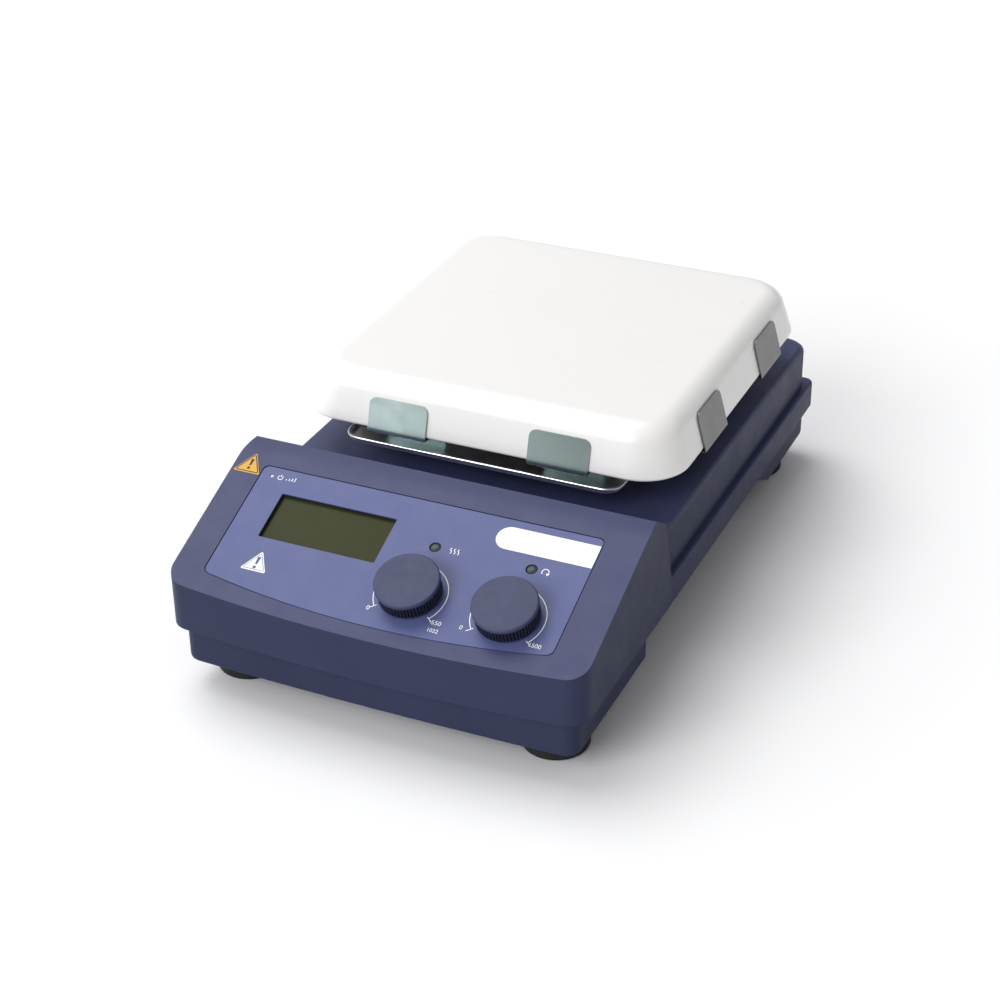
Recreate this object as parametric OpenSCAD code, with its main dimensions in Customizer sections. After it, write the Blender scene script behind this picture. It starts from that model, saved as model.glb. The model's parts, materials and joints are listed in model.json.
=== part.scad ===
// Bench magnetic stirrer with a heated square plate.
// Millimetres. +X is the right side, the control panel faces -Y, +Z is up.
// The origin is the centre of the footprint, on the surface the feet stand on.
// The modules use heights above the case datum, which lies foot_drop above that surface.

/* [Case] */
// Width across the control box
body_w = 216.5; // [215.5:0.5:217.5]
// Depth over everything, front bow to power inlet
body_d = 360; // [356:1:364]
// Height of the plate's top face above the case datum
total_h = 112; // [111:0.5:116]
// Wall of the cast housing
wall = 3; // [2.5:0.1:3.2]
// How far the case datum lies above the bench
foot_drop = 5.5; // [4.5:0.5:6.5]
// Height of the base pan's underside above the datum
pan_z = 7.5; // [6.5:0.5:8]
// Lower edge of the housing's rear part
case_z = 24; // [23:0.5:25]
// Lower edge of the control box
box_z = 28.5; // [28:0.5:30]
// Height of the side ledge
ledge_z = 39.5; // [38:0.5:41]
// Height of the deck under the plate
deck_z = 65.5; // [65:0.5:66]

/* [Control panel] */
// Slope of the panel face, in degrees
panel_slope = 21.6; // [21:0.1:22]
// Height of the panel plane at the origin of the panel coordinates
ridge_z = 88.5; // [88:0.5:89.5]
// Place of that origin along the depth
ridge_y = -87.2; // [-88:0.1:-86]
// Radius that rounds the top of the control box
crown_r = 49; // [40:1:55]
// How far the front face bows out at its middle
front_bow = 5.8; // [5:0.1:6.5]
// Radius of both knobs
knob_r = 15.8; // [14.5:0.1:16.5]
// Height of the knobs above the panel
knob_h = 10.7; // [10:0.1:12]
// Distance of the heating knob from the centre line
heat_u = 12.4; // [10:0.1:14]
// Distance of the stirring knob from the centre line
stir_u = 61.8; // [60:0.1:63]
// Distance of both knobs down the slope from the ridge
knob_v = 69.2; // [68:0.1:70]

/* [Heating plate] */
// Half the width of the plate at its lower rim
rim_half = 103.5; // [103:0.1:104]
// Half the width of the flat top face
flat_half = 90; // [88:0.5:91]
// Height of the lower rim above the datum
rim_z = 85.7; // [85.5:0.1:86]
// Place of the plate's centre along the depth
plate_y = 51.3; // [51:0.1:52]
// Width of each clip
clip_w = 32.5; // [28:0.5:34]
// Distance of each clip's centre from the middle of its side
clip_at = 43.8; // [42:0.1:46]

/* [Drive] */
// Radius of the motor can
motor_r = 27; // [24:0.5:28]
// Radius of the magnet carrier disc
carrier_r = 36; // [30:0.5:37]
// Radius of the motor shaft
shaft_r = 3; // [2.8:0.1:3.2]

/* [Hidden] */
$fn = 48;
eps = 0.01;
fit = 0.05;

half_w = body_w / 2;
front_y = -body_d / 2;
back_y = body_d / 2;
pad_y = back_y - 2;
deck_half = half_w - 5.65;
deck_back = back_y - 3;
band_half = half_w - 2;
bow_r = (half_w * half_w + front_bow * front_bow) / (2 * front_bow);
box_back = -40;
box_corner = 11;
crown_y = -83;
crown_z = ridge_z + ((crown_y - ridge_y) * sin(panel_slope) - crown_r) / cos(panel_slope);
brow = [-66.5, 76];
back_lean = 32.4;
rear_slope = 75.5;
run_start = -74;
split_y = -60;
floor_t = 2.5;
floor_top = pan_z + floor_t;
pan_half = band_half - wall - 0.25;
pan_lip_z = box_z + 5.5;
pan_front = front_y + 7.7;
pan_bow_r = 2700;
pan_corner = 7.5;
grip_depth = 14;
grip_front = -82;
grip_back_top = 77;
grip_back_low = 120;
foot_x = 82.2;
foot_y = 144;
foot_r = 16.5;
column_r = 5;
post_at = 62;
shield_z = 76;
shield_t = 0.8;
shield_half = rim_half + 1;
shield_side = 93;
wing_half = 75.5;
well_r = 44;
bearing_r = 6.5;
bracket_z = 52;
pad_half = 76;
pad_low = 26;
pad_top = 64;
rod_x = -84;
rod_y = 165;
overlay_left = -91.5;
overlay_right = 89;
overlay_top = 15.7;
overlay_side_low = 83.6;
overlay_low = 91.9;
lcd_left = -75;
lcd_right = -12.4;
lcd_top = 30;
lcd_low = 57.3;
lamp_v = 40.8;
lamp_r = 2.8;
power_lamp_u = -85.2;
power_lamp_v = 21.1;
board_n = -14;
inlet_x = 48;
switch_x = 10;
probe_x = -26;
port_x = -54;
panel_mid_z = 45;
pin_depth = 6;

// ---- shared shapes ----

// Points along an arc from angle a0 to a1
function arc(cx, cy, r, a0, a1, n) =
    [for (i = [0:n]) let (a = a0 + (a1 - a0) * i / n) [cx + r * cos(a), cy + r * sin(a)]];

// Outline of a rectangle with round corners, centred on the origin
function round_rect(w, d, r, n = 6) = concat(
    arc(w / 2 - r, -d / 2 + r, r, -90, 0, n),
    arc(w / 2 - r, d / 2 - r, r, 0, 90, n),
    arc(-w / 2 + r, d / 2 - r, r, 90, 180, n),
    arc(-w / 2 + r, -d / 2 + r, r, 180, 270, n)
);

// A flat plate with round corners, centred in X and Y and standing on Z = 0
module slab(w, d, h, r, n = 6) {
    linear_extrude(h) polygon(round_rect(w, d, r, n));
}

// A ring or a tube standing on Z = 0
module tube(r_out, r_in, h) {
    difference() {
        cylinder(r = r_out, h = h);
        translate([0, 0, -1]) cylinder(r = r_in, h = h + 2);
    }
}

// Places its children at the four corners of a rectangle
module four(x, y) {
    for (sx = [-1, 1], sy = [-1, 1]) translate([sx * x, sy * y, 0]) children();
}

// Panel coordinates: X across, Y up the slope from the ridge line, Z out of the panel
module on_panel() {
    translate([0, ridge_y, ridge_z]) rotate([panel_slope, 0, 0]) children();
}

// Places its children at a point of the panel, v down the slope
module at_panel(u, v, n = 0) {
    on_panel() translate([u, -v, n]) children();
}

// Lifts its children from the case datum to their height above the bench
module raised() {
    translate([0, 0, foot_drop]) children();
}

// A screw with a round head below its shank, standing on Z = 0
module screw(head_r, head_h, shank_r, length) {
    cylinder(r = head_r, h = head_h);
    cylinder(r = shank_r, h = length);
}

// ---- case outlines ----

// Plan of the control box, inset by t, with its front bowed on a large radius
function box_outline(t) = let (
    hw = half_w - t,
    big = bow_r - t,
    r = box_corner - t,
    cy = front_y + bow_r,
    corner_y = cy - sqrt(pow(big - r, 2) - pow(hw - r, 2)),
    corner_a = atan2(corner_y - cy, hw - r)
) concat(
    [[-hw, box_back - t]],
    arc(-hw + r, corner_y, r, 180, 180 - corner_a, 8),
    arc(0, cy, big, 180 - corner_a, 360 + corner_a, 24),
    arc(hw - r, corner_y, r, corner_a, 0, 8),
    [[hw, box_back - t]]
);

// Height of the panel face at a place along the depth
function panel_height(y) = ridge_z - (ridge_y - y) * tan(panel_slope);

// Corner p of a side view, moved inwards by t, between edges that slope at a0 and a1
function inset_corner(p, a0, a1, t) =
    p + t / cos((a0 - a1) / 2) * [sin((a0 + a1) / 2), -cos((a0 + a1) / 2)];

// Side view of the control box as Y-Z points, inset by t: panel, crown, back and steep wall
function box_profile(t) = let (
    drop = t / cos(panel_slope),
    y_front = front_y - 5,
    low = box_z - (t > 0 ? 5 : 0),
    crest_a = 90 + asin(t * tan(back_lean / 2) / (crown_r - t)),
    edge = inset_corner(brow, -back_lean, -rear_slope, t)
) concat(
    [[y_front, low], [y_front, panel_height(y_front) - drop]],
    arc(crown_y, crown_z, crown_r - t, 90 + panel_slope, crest_a, 10),
    [edge, [edge[0] + (edge[1] - low) / tan(rear_slope), low]]
);

// Extrudes a Y-Z outline across the whole width
module across(points, half) {
    rotate([90, 0, 90]) linear_extrude(2 * half, center = true) polygon(points);
}

// Block beyond the flat facet where the control box narrows towards the deck, on one side
module shoulder_cut(t) {
    facet_lean = 20;
    facet_turn = 5.5;
    crease_y = -84.5;
    crease_z = 57.6;
    translate([half_w - t, crease_y, crease_z]) rotate([facet_lean, 0, 0])
        rotate([0, 0, facet_turn]) translate([0, -12, -80]) cube([30, 90, 160]);
}

// The control box, inset by t
module control_box(t) {
    difference() {
        intersection() {
            translate([0, 0, box_z - 5]) linear_extrude(80) polygon(box_outline(t));
            across(box_profile(t), half_w + 5);
        }
        shoulder_cut(t);
        mirror([1, 0, 0]) shoulder_cut(t);
    }
}

// A straight run of the case from the box to the back, with its rear corners round
module rear_run(half, y_start, y_end, z_low, z_top, r) {
    translate([0, 0, z_low]) linear_extrude(z_top - z_low) polygon(concat(
        [[-half, y_start], [half, y_start]],
        arc(half - r, y_end - r, r, 0, 90, 6),
        arc(-half + r, y_end - r, r, 90, 180, 6)
    ));
}

// Outer or inner form of the housing, inset by t
module housing_form(t) {
    low = case_z - (t > 0 ? 5 : 0);
    start = run_start - t;
    control_box(t);
    rear_run(deck_half - t, start, deck_back - t, low, deck_z - t, 14 - t);
    rear_run(band_half - t, start, pad_y - t, low, ledge_z - t, 5 - t);
}

module housing() {
    color([0.33, 0.36, 0.5]) {
        difference() {
            union() {
                housing_form(0);
                translate([0, pad_y - 4, (pad_low + pad_top) / 2])
                    rotate([-90, 0, 0]) slab(2 * pad_half, pad_top - pad_low, 4, 4);
            }
            difference() {
                housing_form(wall);
                foot_columns();
                bracket_bosses();
                box_sill();
            }
            four(foot_x, foot_y) translate([0, 0, floor_top - 1]) cylinder(r = 1.6, h = 22);
            overlay_pocket();
            panel_openings();
            translate([0, plate_y, deck_z - wall - 1]) cylinder(r = well_r, h = wall + 2);
            translate([0, plate_y, 0]) four(post_at, post_at)
                translate([0, 0, deck_z - wall - 1]) cylinder(r = 2.2, h = wall + 2);
            translate([0, plate_y, 0]) four(38, 38)
                translate([0, 0, bracket_z + 1]) cylinder(r = 1.25, h = 9);
            translate([0, pad_y - 1.5, panel_mid_z]) rotate([-90, 0, 0])
                slab(2 * pad_half - 8, 36, 3, 3);
            translate([0, pad_y - 12, panel_mid_z]) rotate([-90, 0, 0])
                slab(2 * pad_half - 22, 32, 14, 3);
            translate([rod_x, rod_y, deck_z - wall - 1]) cylinder(r = 7, h = wall + 2);
            for (sx = [-1, 1]) translate([sx * (pad_half - 7.5), pad_y - 12, panel_mid_z])
                rotate([-90, 0, 0]) cylinder(r = 1.25, h = 14);
        }
    }
}

// Front part of the casting; the rear part meets it face to face under the plate's edge
module front_housing() {
    intersection() {
        housing();
        translate([-half_w - 1, front_y - 1, 0]) cube([body_w + 2, split_y - front_y + 1, 120]);
    }
}

module rear_housing() {
    intersection() {
        housing();
        translate([-half_w - 1, split_y, 0]) cube([body_w + 2, back_y - split_y + 1, 120]);
    }
}

// Thicker foot of the control box, which closes the gap round the pan
module box_sill() {
    difference() {
        translate([-half_w, front_y, box_z - 8])
            cube([body_w, run_start - front_y, pan_lip_z + 7.8 - box_z]);
        translate([0, 0, box_z - 10]) linear_extrude(30) polygon(pan_outline(-0.25));
    }
}

// Columns inside the case that take the long screws through the feet
module foot_columns() {
    four(foot_x, foot_y) translate([0, 0, floor_top + 0.1]) cylinder(r = column_r, h = 80);
}

// Bosses under the deck that carry the motor bracket
module bracket_bosses() {
    translate([0, plate_y, 0]) four(38, 38)
        translate([0, 0, bracket_z + 2]) cylinder(r = 4, h = 20);
}

// Outline of the control overlay in panel coordinates, grown by g
function overlay_outline(g) = let (
    left = overlay_left - g,
    right = overlay_right + g,
    top = -overlay_top + g,
    mid = (left + right) / 2,
    half = (right - left) / 2,
    sag = overlay_low - overlay_side_low,
    big = (half * half + sag * sag) / (2 * sag),
    cy = -overlay_low - g + big,
    r = 4,
    corner_y = cy - sqrt(pow(big - r, 2) - pow(half - r, 2)),
    corner_a = atan2(corner_y - cy, half - r)
) concat(
    arc(left + 3, top - 3, 3, 90, 180, 4),
    arc(left + r, corner_y, r, 180, 180 - corner_a, 4),
    arc(mid, cy, big, 180 - corner_a, 360 + corner_a, 20),
    arc(right - r, corner_y, r, corner_a, 0, 4),
    arc(right - 3, top - 3, 3, 0, 90, 4)
);

// Shallow pocket for the overlay
module overlay_pocket() {
    on_panel() translate([0, 0, -0.7]) linear_extrude(5) polygon(overlay_outline(0.25));
}

// Rectangle of the display opening in panel coordinates
module lcd_prism(grow, n_low, n_high) {
    at_panel((lcd_left + lcd_right) / 2, (lcd_top + lcd_low) / 2, n_low)
        slab(lcd_right - lcd_left + 2 * grow, lcd_low - lcd_top + 2 * grow,
             n_high - n_low, 0.8 + grow);
}

// Openings through the panel wall for the display, lamps and encoder bushes
module panel_openings() {
    lcd_prism(0.6, -8, 2);
    for (u = [heat_u, stir_u]) {
        at_panel(u, knob_v, -8) cylinder(r = 4.6, h = 12);
        at_panel(u, lamp_v, -8) cylinder(r = lamp_r + 0.1, h = 12);
    }
    at_panel(power_lamp_u, power_lamp_v, -8) cylinder(r = 1.1, h = 12);
}

// ---- base pan ----

// Plan of the pan, inset by t
function pan_outline(t) = let (
    hw = pan_half - t,
    big = pan_bow_r - t,
    r = pan_corner - t,
    cy = pan_front + pan_bow_r,
    y_end = pad_y - wall - 0.3 - t,
    corner_y = cy - sqrt(pow(big - r, 2) - pow(hw - r, 2)),
    corner_a = atan2(corner_y - cy, hw - r)
) concat(
    arc(-hw + r, corner_y, r, 180, 180 - corner_a, 6),
    arc(0, cy, big, 180 - corner_a, 360 + corner_a, 20),
    arc(hw - r, corner_y, r, corner_a, 0, 6),
    arc(hw - pan_corner, y_end - pan_corner, pan_corner, 0, 90, 5),
    arc(-hw + pan_corner, y_end - pan_corner, pan_corner, 90, 180, 5)
);

// Hand recess on one side, grown by g
module grip(g) {
    inner = pan_half - grip_depth - g;
    translate([(inner + half_w + 5) / 2, 0, 0])
        across([
            [grip_front - g, pan_z - 5],
            [grip_front - g, case_z - 0.2 + g],
            [grip_back_top + g, case_z - 0.2 + g],
            [grip_back_low + g, pan_z - 5]
        ], (half_w + 5 - inner) / 2);
}

module base_pan() {
    color([0.3, 0.32, 0.45]) {
        difference() {
            translate([0, 0, pan_z]) linear_extrude(pan_lip_z - pan_z) polygon(pan_outline(0));
            difference() {
                translate([0, 0, floor_top]) linear_extrude(40) polygon(pan_outline(floor_t));
                grip(floor_t);
                mirror([1, 0, 0]) grip(floor_t);
            }
            grip(0);
            mirror([1, 0, 0]) grip(0);
            translate([-pad_half - 2, pad_y - 12, case_z + 2]) cube([2 * pad_half + 4, 24, 30]);
            four(foot_x, foot_y) translate([0, 0, pan_z - 1]) cylinder(r = 2.3, h = 5);
            translate([0, -20, 0]) four(70, 30)
                translate([0, 0, pan_z - 1]) cylinder(r = 1.7, h = 5);
            for (i = [-4:4]) translate([i * 9, -95, pan_z - 1]) slab(3, 40, 5, 1.4, 4);
            for (i = [-4:4]) translate([i * 9, 120, pan_z - 1]) slab(3, 40, 5, 1.4, 4);
        }
    }
}

module rubber_feet() {
    color([0.05, 0.05, 0.06])
        four(foot_x, foot_y) difference() {
            translate([0, 0, -foot_drop]) union() {
                cylinder(r1 = foot_r - 1, r2 = foot_r, h = 1);
                translate([0, 0, 1]) cylinder(r = foot_r, h = pan_z + foot_drop - 1);
            }
            translate([0, 0, -foot_drop - 1]) cylinder(r = 5, h = foot_drop + 4.5);
            translate([0, 0, -1]) cylinder(r = 2.3, h = pan_z + 2);
        }
}

module foot_screws() {
    color([0.7, 0.7, 0.72])
        four(foot_x, foot_y) translate([0, 0, 1.5]) difference() {
            screw(4, 2, 1.55, 26);
            translate([0, 0, -1]) cylinder(r = 1.3, h = 2.2, $fn = 6);
        }
}

// ---- control panel ----

module panel_overlay() {
    color([0.44, 0.48, 0.66])
        difference() {
            on_panel() translate([0, 0, -0.65]) linear_extrude(0.55)
                polygon(overlay_outline(0));
            lcd_prism(0, -3, 2);
            for (u = [heat_u, stir_u]) {
                at_panel(u, knob_v, -8) cylinder(r = 4.7, h = 12);
                at_panel(u, lamp_v, -8) cylinder(r = lamp_r + 0.1, h = 12);
            }
            at_panel(power_lamp_u, power_lamp_v, -8) cylinder(r = 1.1, h = 12);
        }
}

module label_plate() {
    left = 38.3;
    label_mid = 26.6;
    half = 6.6;
    right = overlay_right - 0.2;
    color([0.97, 0.97, 0.96])
        on_panel() translate([0, -label_mid, -0.1]) linear_extrude(0.25)
            polygon(concat(
                arc(left + half, 0, half, 90, 270, 10),
                [[right, -half], [right, half]]
            ));
}

module caution_sticker() {
    color([0.85, 0.68, 0.2])
        at_panel(-99.4, 18.2, 0.02) linear_extrude(0.2)
            polygon([[-7.5, -4.3], [7.5, -4.3], [0, 8.7]]);
}

module lcd_window() {
    color([0.3, 0.33, 0.2]) lcd_prism(0.5, -3.8, -2.2);
}

module lcd_module() {
    color([0.25, 0.3, 0.28]) lcd_prism(-0.6, board_n + 0.05, -3.85);
}

module display_board() {
    color([0.1, 0.35, 0.2])
        difference() {
            at_panel(-1, 53, board_n - 1.6) slab(152, 72, 1.6, 2);
            for (u = [-74, 72], v = [20, 86])
                at_panel(u, v, board_n - 3) cylinder(r = 1.7, h = 5);
        }
}

module board_screws() {
    color([0.7, 0.7, 0.72]) {
        for (u = [-74, 72], v = [20, 86])
            at_panel(u, v, board_n - 3.8) screw(3, 2.1, 1.6, 3.7 + 4);
    }
    color([0.8, 0.78, 0.6])
        for (u = [-74, 72], v = [20, 86])
            at_panel(u, v, board_n + 0.1) tube(3, 1.65, -board_n - wall - 0.2);
}

// A lamp lens with a domed face, on a stem from the board
module lamp(u, v, r) {
    at_panel(u, v, 0) {
        translate([0, 0, board_n + 0.05]) cylinder(r = r - 0.4, h = -board_n - 3);
        translate([0, 0, -3]) cylinder(r = r, h = 2.7);
        translate([0, 0, -0.3]) cylinder(r1 = r, r2 = r * 0.75, h = 0.4);
    }
}

module power_lamp() {
    color([0.85, 0.87, 0.95]) lamp(power_lamp_u, power_lamp_v, 1);
}

module heat_lamp() {
    color([0.2, 0.26, 0.26]) lamp(heat_u, lamp_v, lamp_r);
}

module stir_lamp() {
    color([0.2, 0.26, 0.26]) lamp(stir_u, lamp_v, lamp_r);
}

// Encoder behind the panel: square case with a threaded bush round its shaft bore
module encoder(u) {
    at_panel(u, knob_v, 0) difference() {
        union() {
            translate([-7, -7, board_n + 0.05]) cube([14, 14, 7]);
            translate([0, 0, board_n + 7]) cylinder(r = 4.4, h = -board_n - 7 + 0.2);
        }
        translate([0, 0, board_n + 2]) cylinder(r = shaft_r + fit, h = 20);
    }
}

module heat_encoder() {
    color([0.45, 0.47, 0.45]) encoder(heat_u);
}

module stir_encoder() {
    color([0.45, 0.47, 0.45]) encoder(stir_u);
}

module encoder_nuts() {
    color([0.72, 0.7, 0.62])
        for (u = [heat_u, stir_u])
            at_panel(u, knob_v, -wall - 2.4) difference() {
                cylinder(r = 6.5, h = 2.2, $fn = 6);
                translate([0, 0, -1]) cylinder(r = 4.45, h = 5);
            }
}

// Shaft from the encoder into the knob
module knob_shaft(u) {
    at_panel(u, knob_v, board_n + 2.3) cylinder(r = shaft_r, h = -board_n - 2.3 + 8.5);
}

module heat_shaft() {
    color([0.75, 0.75, 0.76]) knob_shaft(heat_u);
}

module stir_shaft() {
    color([0.75, 0.75, 0.76]) knob_shaft(stir_u);
}

// Round knob: a plain cap on a ribbed skirt, hollow below, with a shaft socket
module knob(u) {
    rib_count = 44;
    cap_h = 2.2;
    skirt_z = 0.9;
    at_panel(u, knob_v, 0) {
        difference() {
            union() {
                translate([0, 0, skirt_z]) cylinder(r = knob_r - 0.9, h = knob_h - cap_h - skirt_z);
                translate([0, 0, knob_h - cap_h]) cylinder(r = knob_r, h = cap_h - 0.6);
                translate([0, 0, knob_h - 0.6])
                    cylinder(r1 = knob_r, r2 = knob_r - 0.7, h = 0.6);
                for (i = [0:rib_count - 1]) rotate([0, 0, i * 360 / rib_count])
                    translate([knob_r - 1.2, -0.45, skirt_z])
                        cube([1, 0.9, knob_h - cap_h - skirt_z]);
            }
            difference() {
                translate([0, 0, -1]) cylinder(r = knob_r - 2.6, h = knob_h - 1.4);
                cylinder(r = 5.4, h = knob_h);
            }
            translate([0, 0, -1]) cylinder(r = shaft_r + 0.02, h = 9.6);
        }
    }
}

module heat_knob() {
    color([0.33, 0.35, 0.47]) knob(heat_u);
}

module stir_knob() {
    color([0.33, 0.35, 0.47]) knob(stir_u);
}

// ---- electronics on the base pan ----

module power_board() {
    color([0.1, 0.35, 0.2])
        translate([0, -20, 16]) difference() {
            slab(156, 76, 1.6, 2);
            four(70, 30) translate([0, 0, -1]) cylinder(r = 1.7, h = 4);
        }
}

module board_posts() {
    color([0.72, 0.72, 0.74])
        translate([0, -20, 0]) four(70, 30) {
            translate([0, 0, floor_top]) tube(3.5, 1.65, 16 - floor_top);
            translate([0, 0, pan_z - 0.9]) screw(3, 0.9, 1.6, 10.5);
            translate([0, 0, 17.6]) cylinder(r = 3, h = 1.8);
        }
}

module transformer() {
    color([0.55, 0.4, 0.25])
        translate([-48, -26, 17.6]) {
            slab(26, 42, 30, 1, 3);
            translate([0, 0, 6]) slab(44, 28, 18, 3, 4);
        }
}

module heat_sink() {
    fin_count = 8;
    color([0.75, 0.76, 0.78])
        translate([50, -34, 17.6]) {
            translate([-2, -22, 0]) cube([3, 44, 28]);
            for (i = [0:fin_count - 1])
                translate([0.9, -22 + i * 5.9, 0]) cube([16, 2, 28]);
        }
}

module capacitors() {
    color([0.15, 0.17, 0.3])
        for (p = [[0, -36], [24, -36], [0, -8], [24, -8]])
            translate([p[0], p[1], 17.6]) {
                cylinder(r = 8.5, h = 24);
                translate([0, 0, 24]) cylinder(r1 = 8.5, r2 = 8, h = 0.6);
            }
}

// ---- stirring drive ----

module motor_bracket() {
    color([0.7, 0.71, 0.73])
        translate([0, plate_y, bracket_z]) difference() {
            slab(90, 90, 2, 6);
            translate([0, 0, -1]) cylinder(r = 12, h = 4);
            four(38, 38) translate([0, 0, -1]) cylinder(r = 1.7, h = 4);
            four(12.5, 12.5) translate([0, 0, -1]) cylinder(r = 1.7, h = 4);
        }
}

module bracket_screws() {
    color([0.7, 0.7, 0.72])
        translate([0, plate_y, bracket_z - 2]) four(38, 38) screw(3, 2, 1.2, 9);
}

module motor_stator() {
    color([0.6, 0.62, 0.64])
        translate([0, plate_y, 20]) difference() {
            union() {
                cylinder(r = motor_r - 2, h = 2);
                translate([0, 0, 2]) cylinder(r = motor_r, h = bracket_z - 22);
                translate([0, 0, bracket_z - 20]) cylinder(r = 11.9, h = 2);
            }
            translate([0, 0, 1]) cylinder(r = shaft_r + 1, h = 40);
            translate([0, 0, 1]) cylinder(r = bearing_r, h = 5);
            translate([0, 0, bracket_z - 23]) cylinder(r = bearing_r, h = 6);
            four(12.5, 12.5) translate([0, 0, bracket_z - 20 - 7]) cylinder(r = 1.5, h = 8);
        }
}

module motor_bearings() {
    color([0.78, 0.79, 0.8])
        for (z = [21.05, bracket_z - 2.95]) translate([0, plate_y, z])
            tube(bearing_r - 0.02, shaft_r + fit, 4.9);
}

module motor_screws() {
    color([0.7, 0.7, 0.72])
        translate([0, plate_y, bracket_z + 4]) four(12.5, 12.5)
            mirror([0, 0, 1]) screw(2.8, 2, 1.45, 8);
}

module motor_shaft() {
    color([0.8, 0.8, 0.82])
        translate([0, plate_y, 21.4]) cylinder(r = shaft_r, h = 46);
}

module magnet_carrier() {
    color([0.55, 0.57, 0.6])
        translate([0, plate_y, 0]) difference() {
            union() {
                translate([0, 0, bracket_z + 6]) cylinder(r = 8, h = 9);
                translate([0, 0, 66.5]) cylinder(r = carrier_r, h = 2.5);
            }
            translate([0, 0, bracket_z]) cylinder(r = shaft_r + 0.02, h = 40);
        }
}

module drive_magnets() {
    color([0.3, 0.3, 0.32])
        for (s = [-1, 1]) translate([s * 24, plate_y, 69]) cylinder(r = 10, h = 5);
}

// ---- heated plate ----

// Points of the plate's side from rim to flat top: distance from the middle and height
side_low = [rim_half - 1.3, rim_z];
side_rim = [rim_half, rim_z + 2];
side_high = [rim_half - 4.8, total_h - 6.8];

// A thin square slice of the plate with round corners
module plate_slice(half, z, r) {
    translate([0, plate_y, z]) slab(2 * half, 2 * half, eps, r, 8);
}

module heating_plate() {
    edge_r = 9;
    color([0.93, 0.93, 0.92])
        difference() {
            hull() {
                plate_slice(side_low[0], side_low[1], 23.5);
                plate_slice(side_rim[0], side_rim[1], 24.5);
                plate_slice(side_high[0], side_high[1], 22.5);
                for (a = [30, 50, 70])
                    plate_slice(flat_half + edge_r * cos(a), total_h - edge_r * (1 - sin(a)),
                                15 + 8 * cos(a));
                plate_slice(flat_half, total_h - eps, 15);
            }
            hull() {
                plate_slice(rim_half - 4.5, rim_z - 1, 20);
                plate_slice(rim_half - 9, total_h - 8, 18);
            }
        }
}

module heating_element() {
    color([0.6, 0.55, 0.45])
        translate([0, plate_y, total_h - 10.2]) difference() {
            slab(172, 172, 2, 10);
            translate([0, 0, -1]) cylinder(r = 8, h = 4);
        }
}

module insulation_sheet() {
    color([0.9, 0.88, 0.82])
        translate([0, plate_y, total_h - 20.3]) difference() {
            slab(172, 172, 10, 10);
            translate([0, 0, -1]) cylinder(r = 8, h = 12);
        }
}

module element_clamp() {
    color([0.7, 0.71, 0.73])
        translate([0, plate_y, total_h - 21.9]) difference() {
            slab(176, 176, 1.5, 12);
            translate([0, 0, -1]) cylinder(r = 8, h = 4);
            four(post_at, post_at) translate([0, 0, -1]) cylinder(r = 2.2, h = 4);
        }
}

module plate_sensor() {
    color([0.8, 0.8, 0.82])
        translate([0, plate_y, total_h - 26]) {
            cylinder(r = 3, h = 17.9);
            cylinder(r = 6, h = 2);
        }
}

// Cross-shaped outline of the heat shield, inset by t: long wings at front and rear
module shield_outline(t) {
    polygon(round_rect(2 * (wing_half - t), 2 * (shield_half - t), 9));
    polygon(round_rect(2 * (shield_side - t), 2 * (wing_half - t), 9));
}

module heat_shield() {
    lip_h = 2.6;
    color([0.8, 0.81, 0.83])
        translate([0, plate_y, shield_z]) difference() {
            linear_extrude(lip_h + shield_t) shield_outline(0);
            translate([0, 0, shield_t]) linear_extrude(10) shield_outline(shield_t);
            four(post_at, post_at) translate([0, 0, -1]) cylinder(r = 2.2, h = 4);
        }
}

module plate_posts() {
    color([0.72, 0.73, 0.75])
        translate([0, plate_y, 0]) four(post_at, post_at) {
            translate([0, 0, deck_z + 0.02]) tube(5, 2.15, shield_z - deck_z - 0.04);
            translate([0, 0, shield_z + shield_t + 0.02])
                tube(5, 2.15, total_h - 21.9 - shield_z - shield_t - 0.04);
        }
}

module post_screws() {
    color([0.7, 0.7, 0.72])
        translate([0, plate_y, deck_z - wall - 2.6]) four(post_at, post_at)
            screw(4, 2.5, 2.1, 29.5);
}

// Section of a clip as distance from the plate's middle and height
clip_t = 0.8;
clip_gap = 0.25;
clip_leg = rim_half - 22;
clip_top = 102.4;
side_clip_top = 105;

function clip_section(top_z) = let (
    out = rim_half + clip_gap,
    lean = (side_rim[0] - side_high[0]) / (side_high[1] - side_rim[1]),
    top_in = out - lean * (top_z - side_rim[1]),
    foot_z = shield_z + shield_t
) [
    [out + clip_t, rim_z - 1.1],
    [out + clip_t, side_rim[1]],
    [top_in + clip_t, top_z],
    [top_in, top_z],
    [out, side_rim[1]],
    [out, rim_z - 0.3],
    [clip_leg, rim_z - 0.3],
    [clip_leg, foot_z + clip_t],
    [clip_leg - 10, foot_z + clip_t],
    [clip_leg - 10, foot_z],
    [clip_leg + clip_t, foot_z],
    [clip_leg + clip_t, rim_z - 1.1]
];

// The pair of clips on the side that faces -Y, before it is turned to its place
module clip_pair(top_z) {
    corner = 4;
    top = top_z - rim_z;
    for (s = [-1, 1]) translate([s * clip_at, 0, 0]) intersection() {
        rotate([90, 0, -90]) linear_extrude(clip_w, center = true) polygon(clip_section(top_z));
        translate([0, 0, rim_z]) rotate([90, 0, 0]) linear_extrude(300, center = true)
            polygon(concat(
                [[-clip_w / 2, -20], [clip_w / 2, -20]],
                arc(clip_w / 2 - corner, top - corner, corner, 0, 90, 6),
                arc(-clip_w / 2 + corner, top - corner, corner, 90, 180, 6)
            ));
    }
}

module plate_clips(turn, top_z) {
    color([0.6, 0.66, 0.66])
        translate([0, plate_y, 0]) rotate([0, 0, turn]) clip_pair(top_z);
}

// ---- rear connections ----

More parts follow.
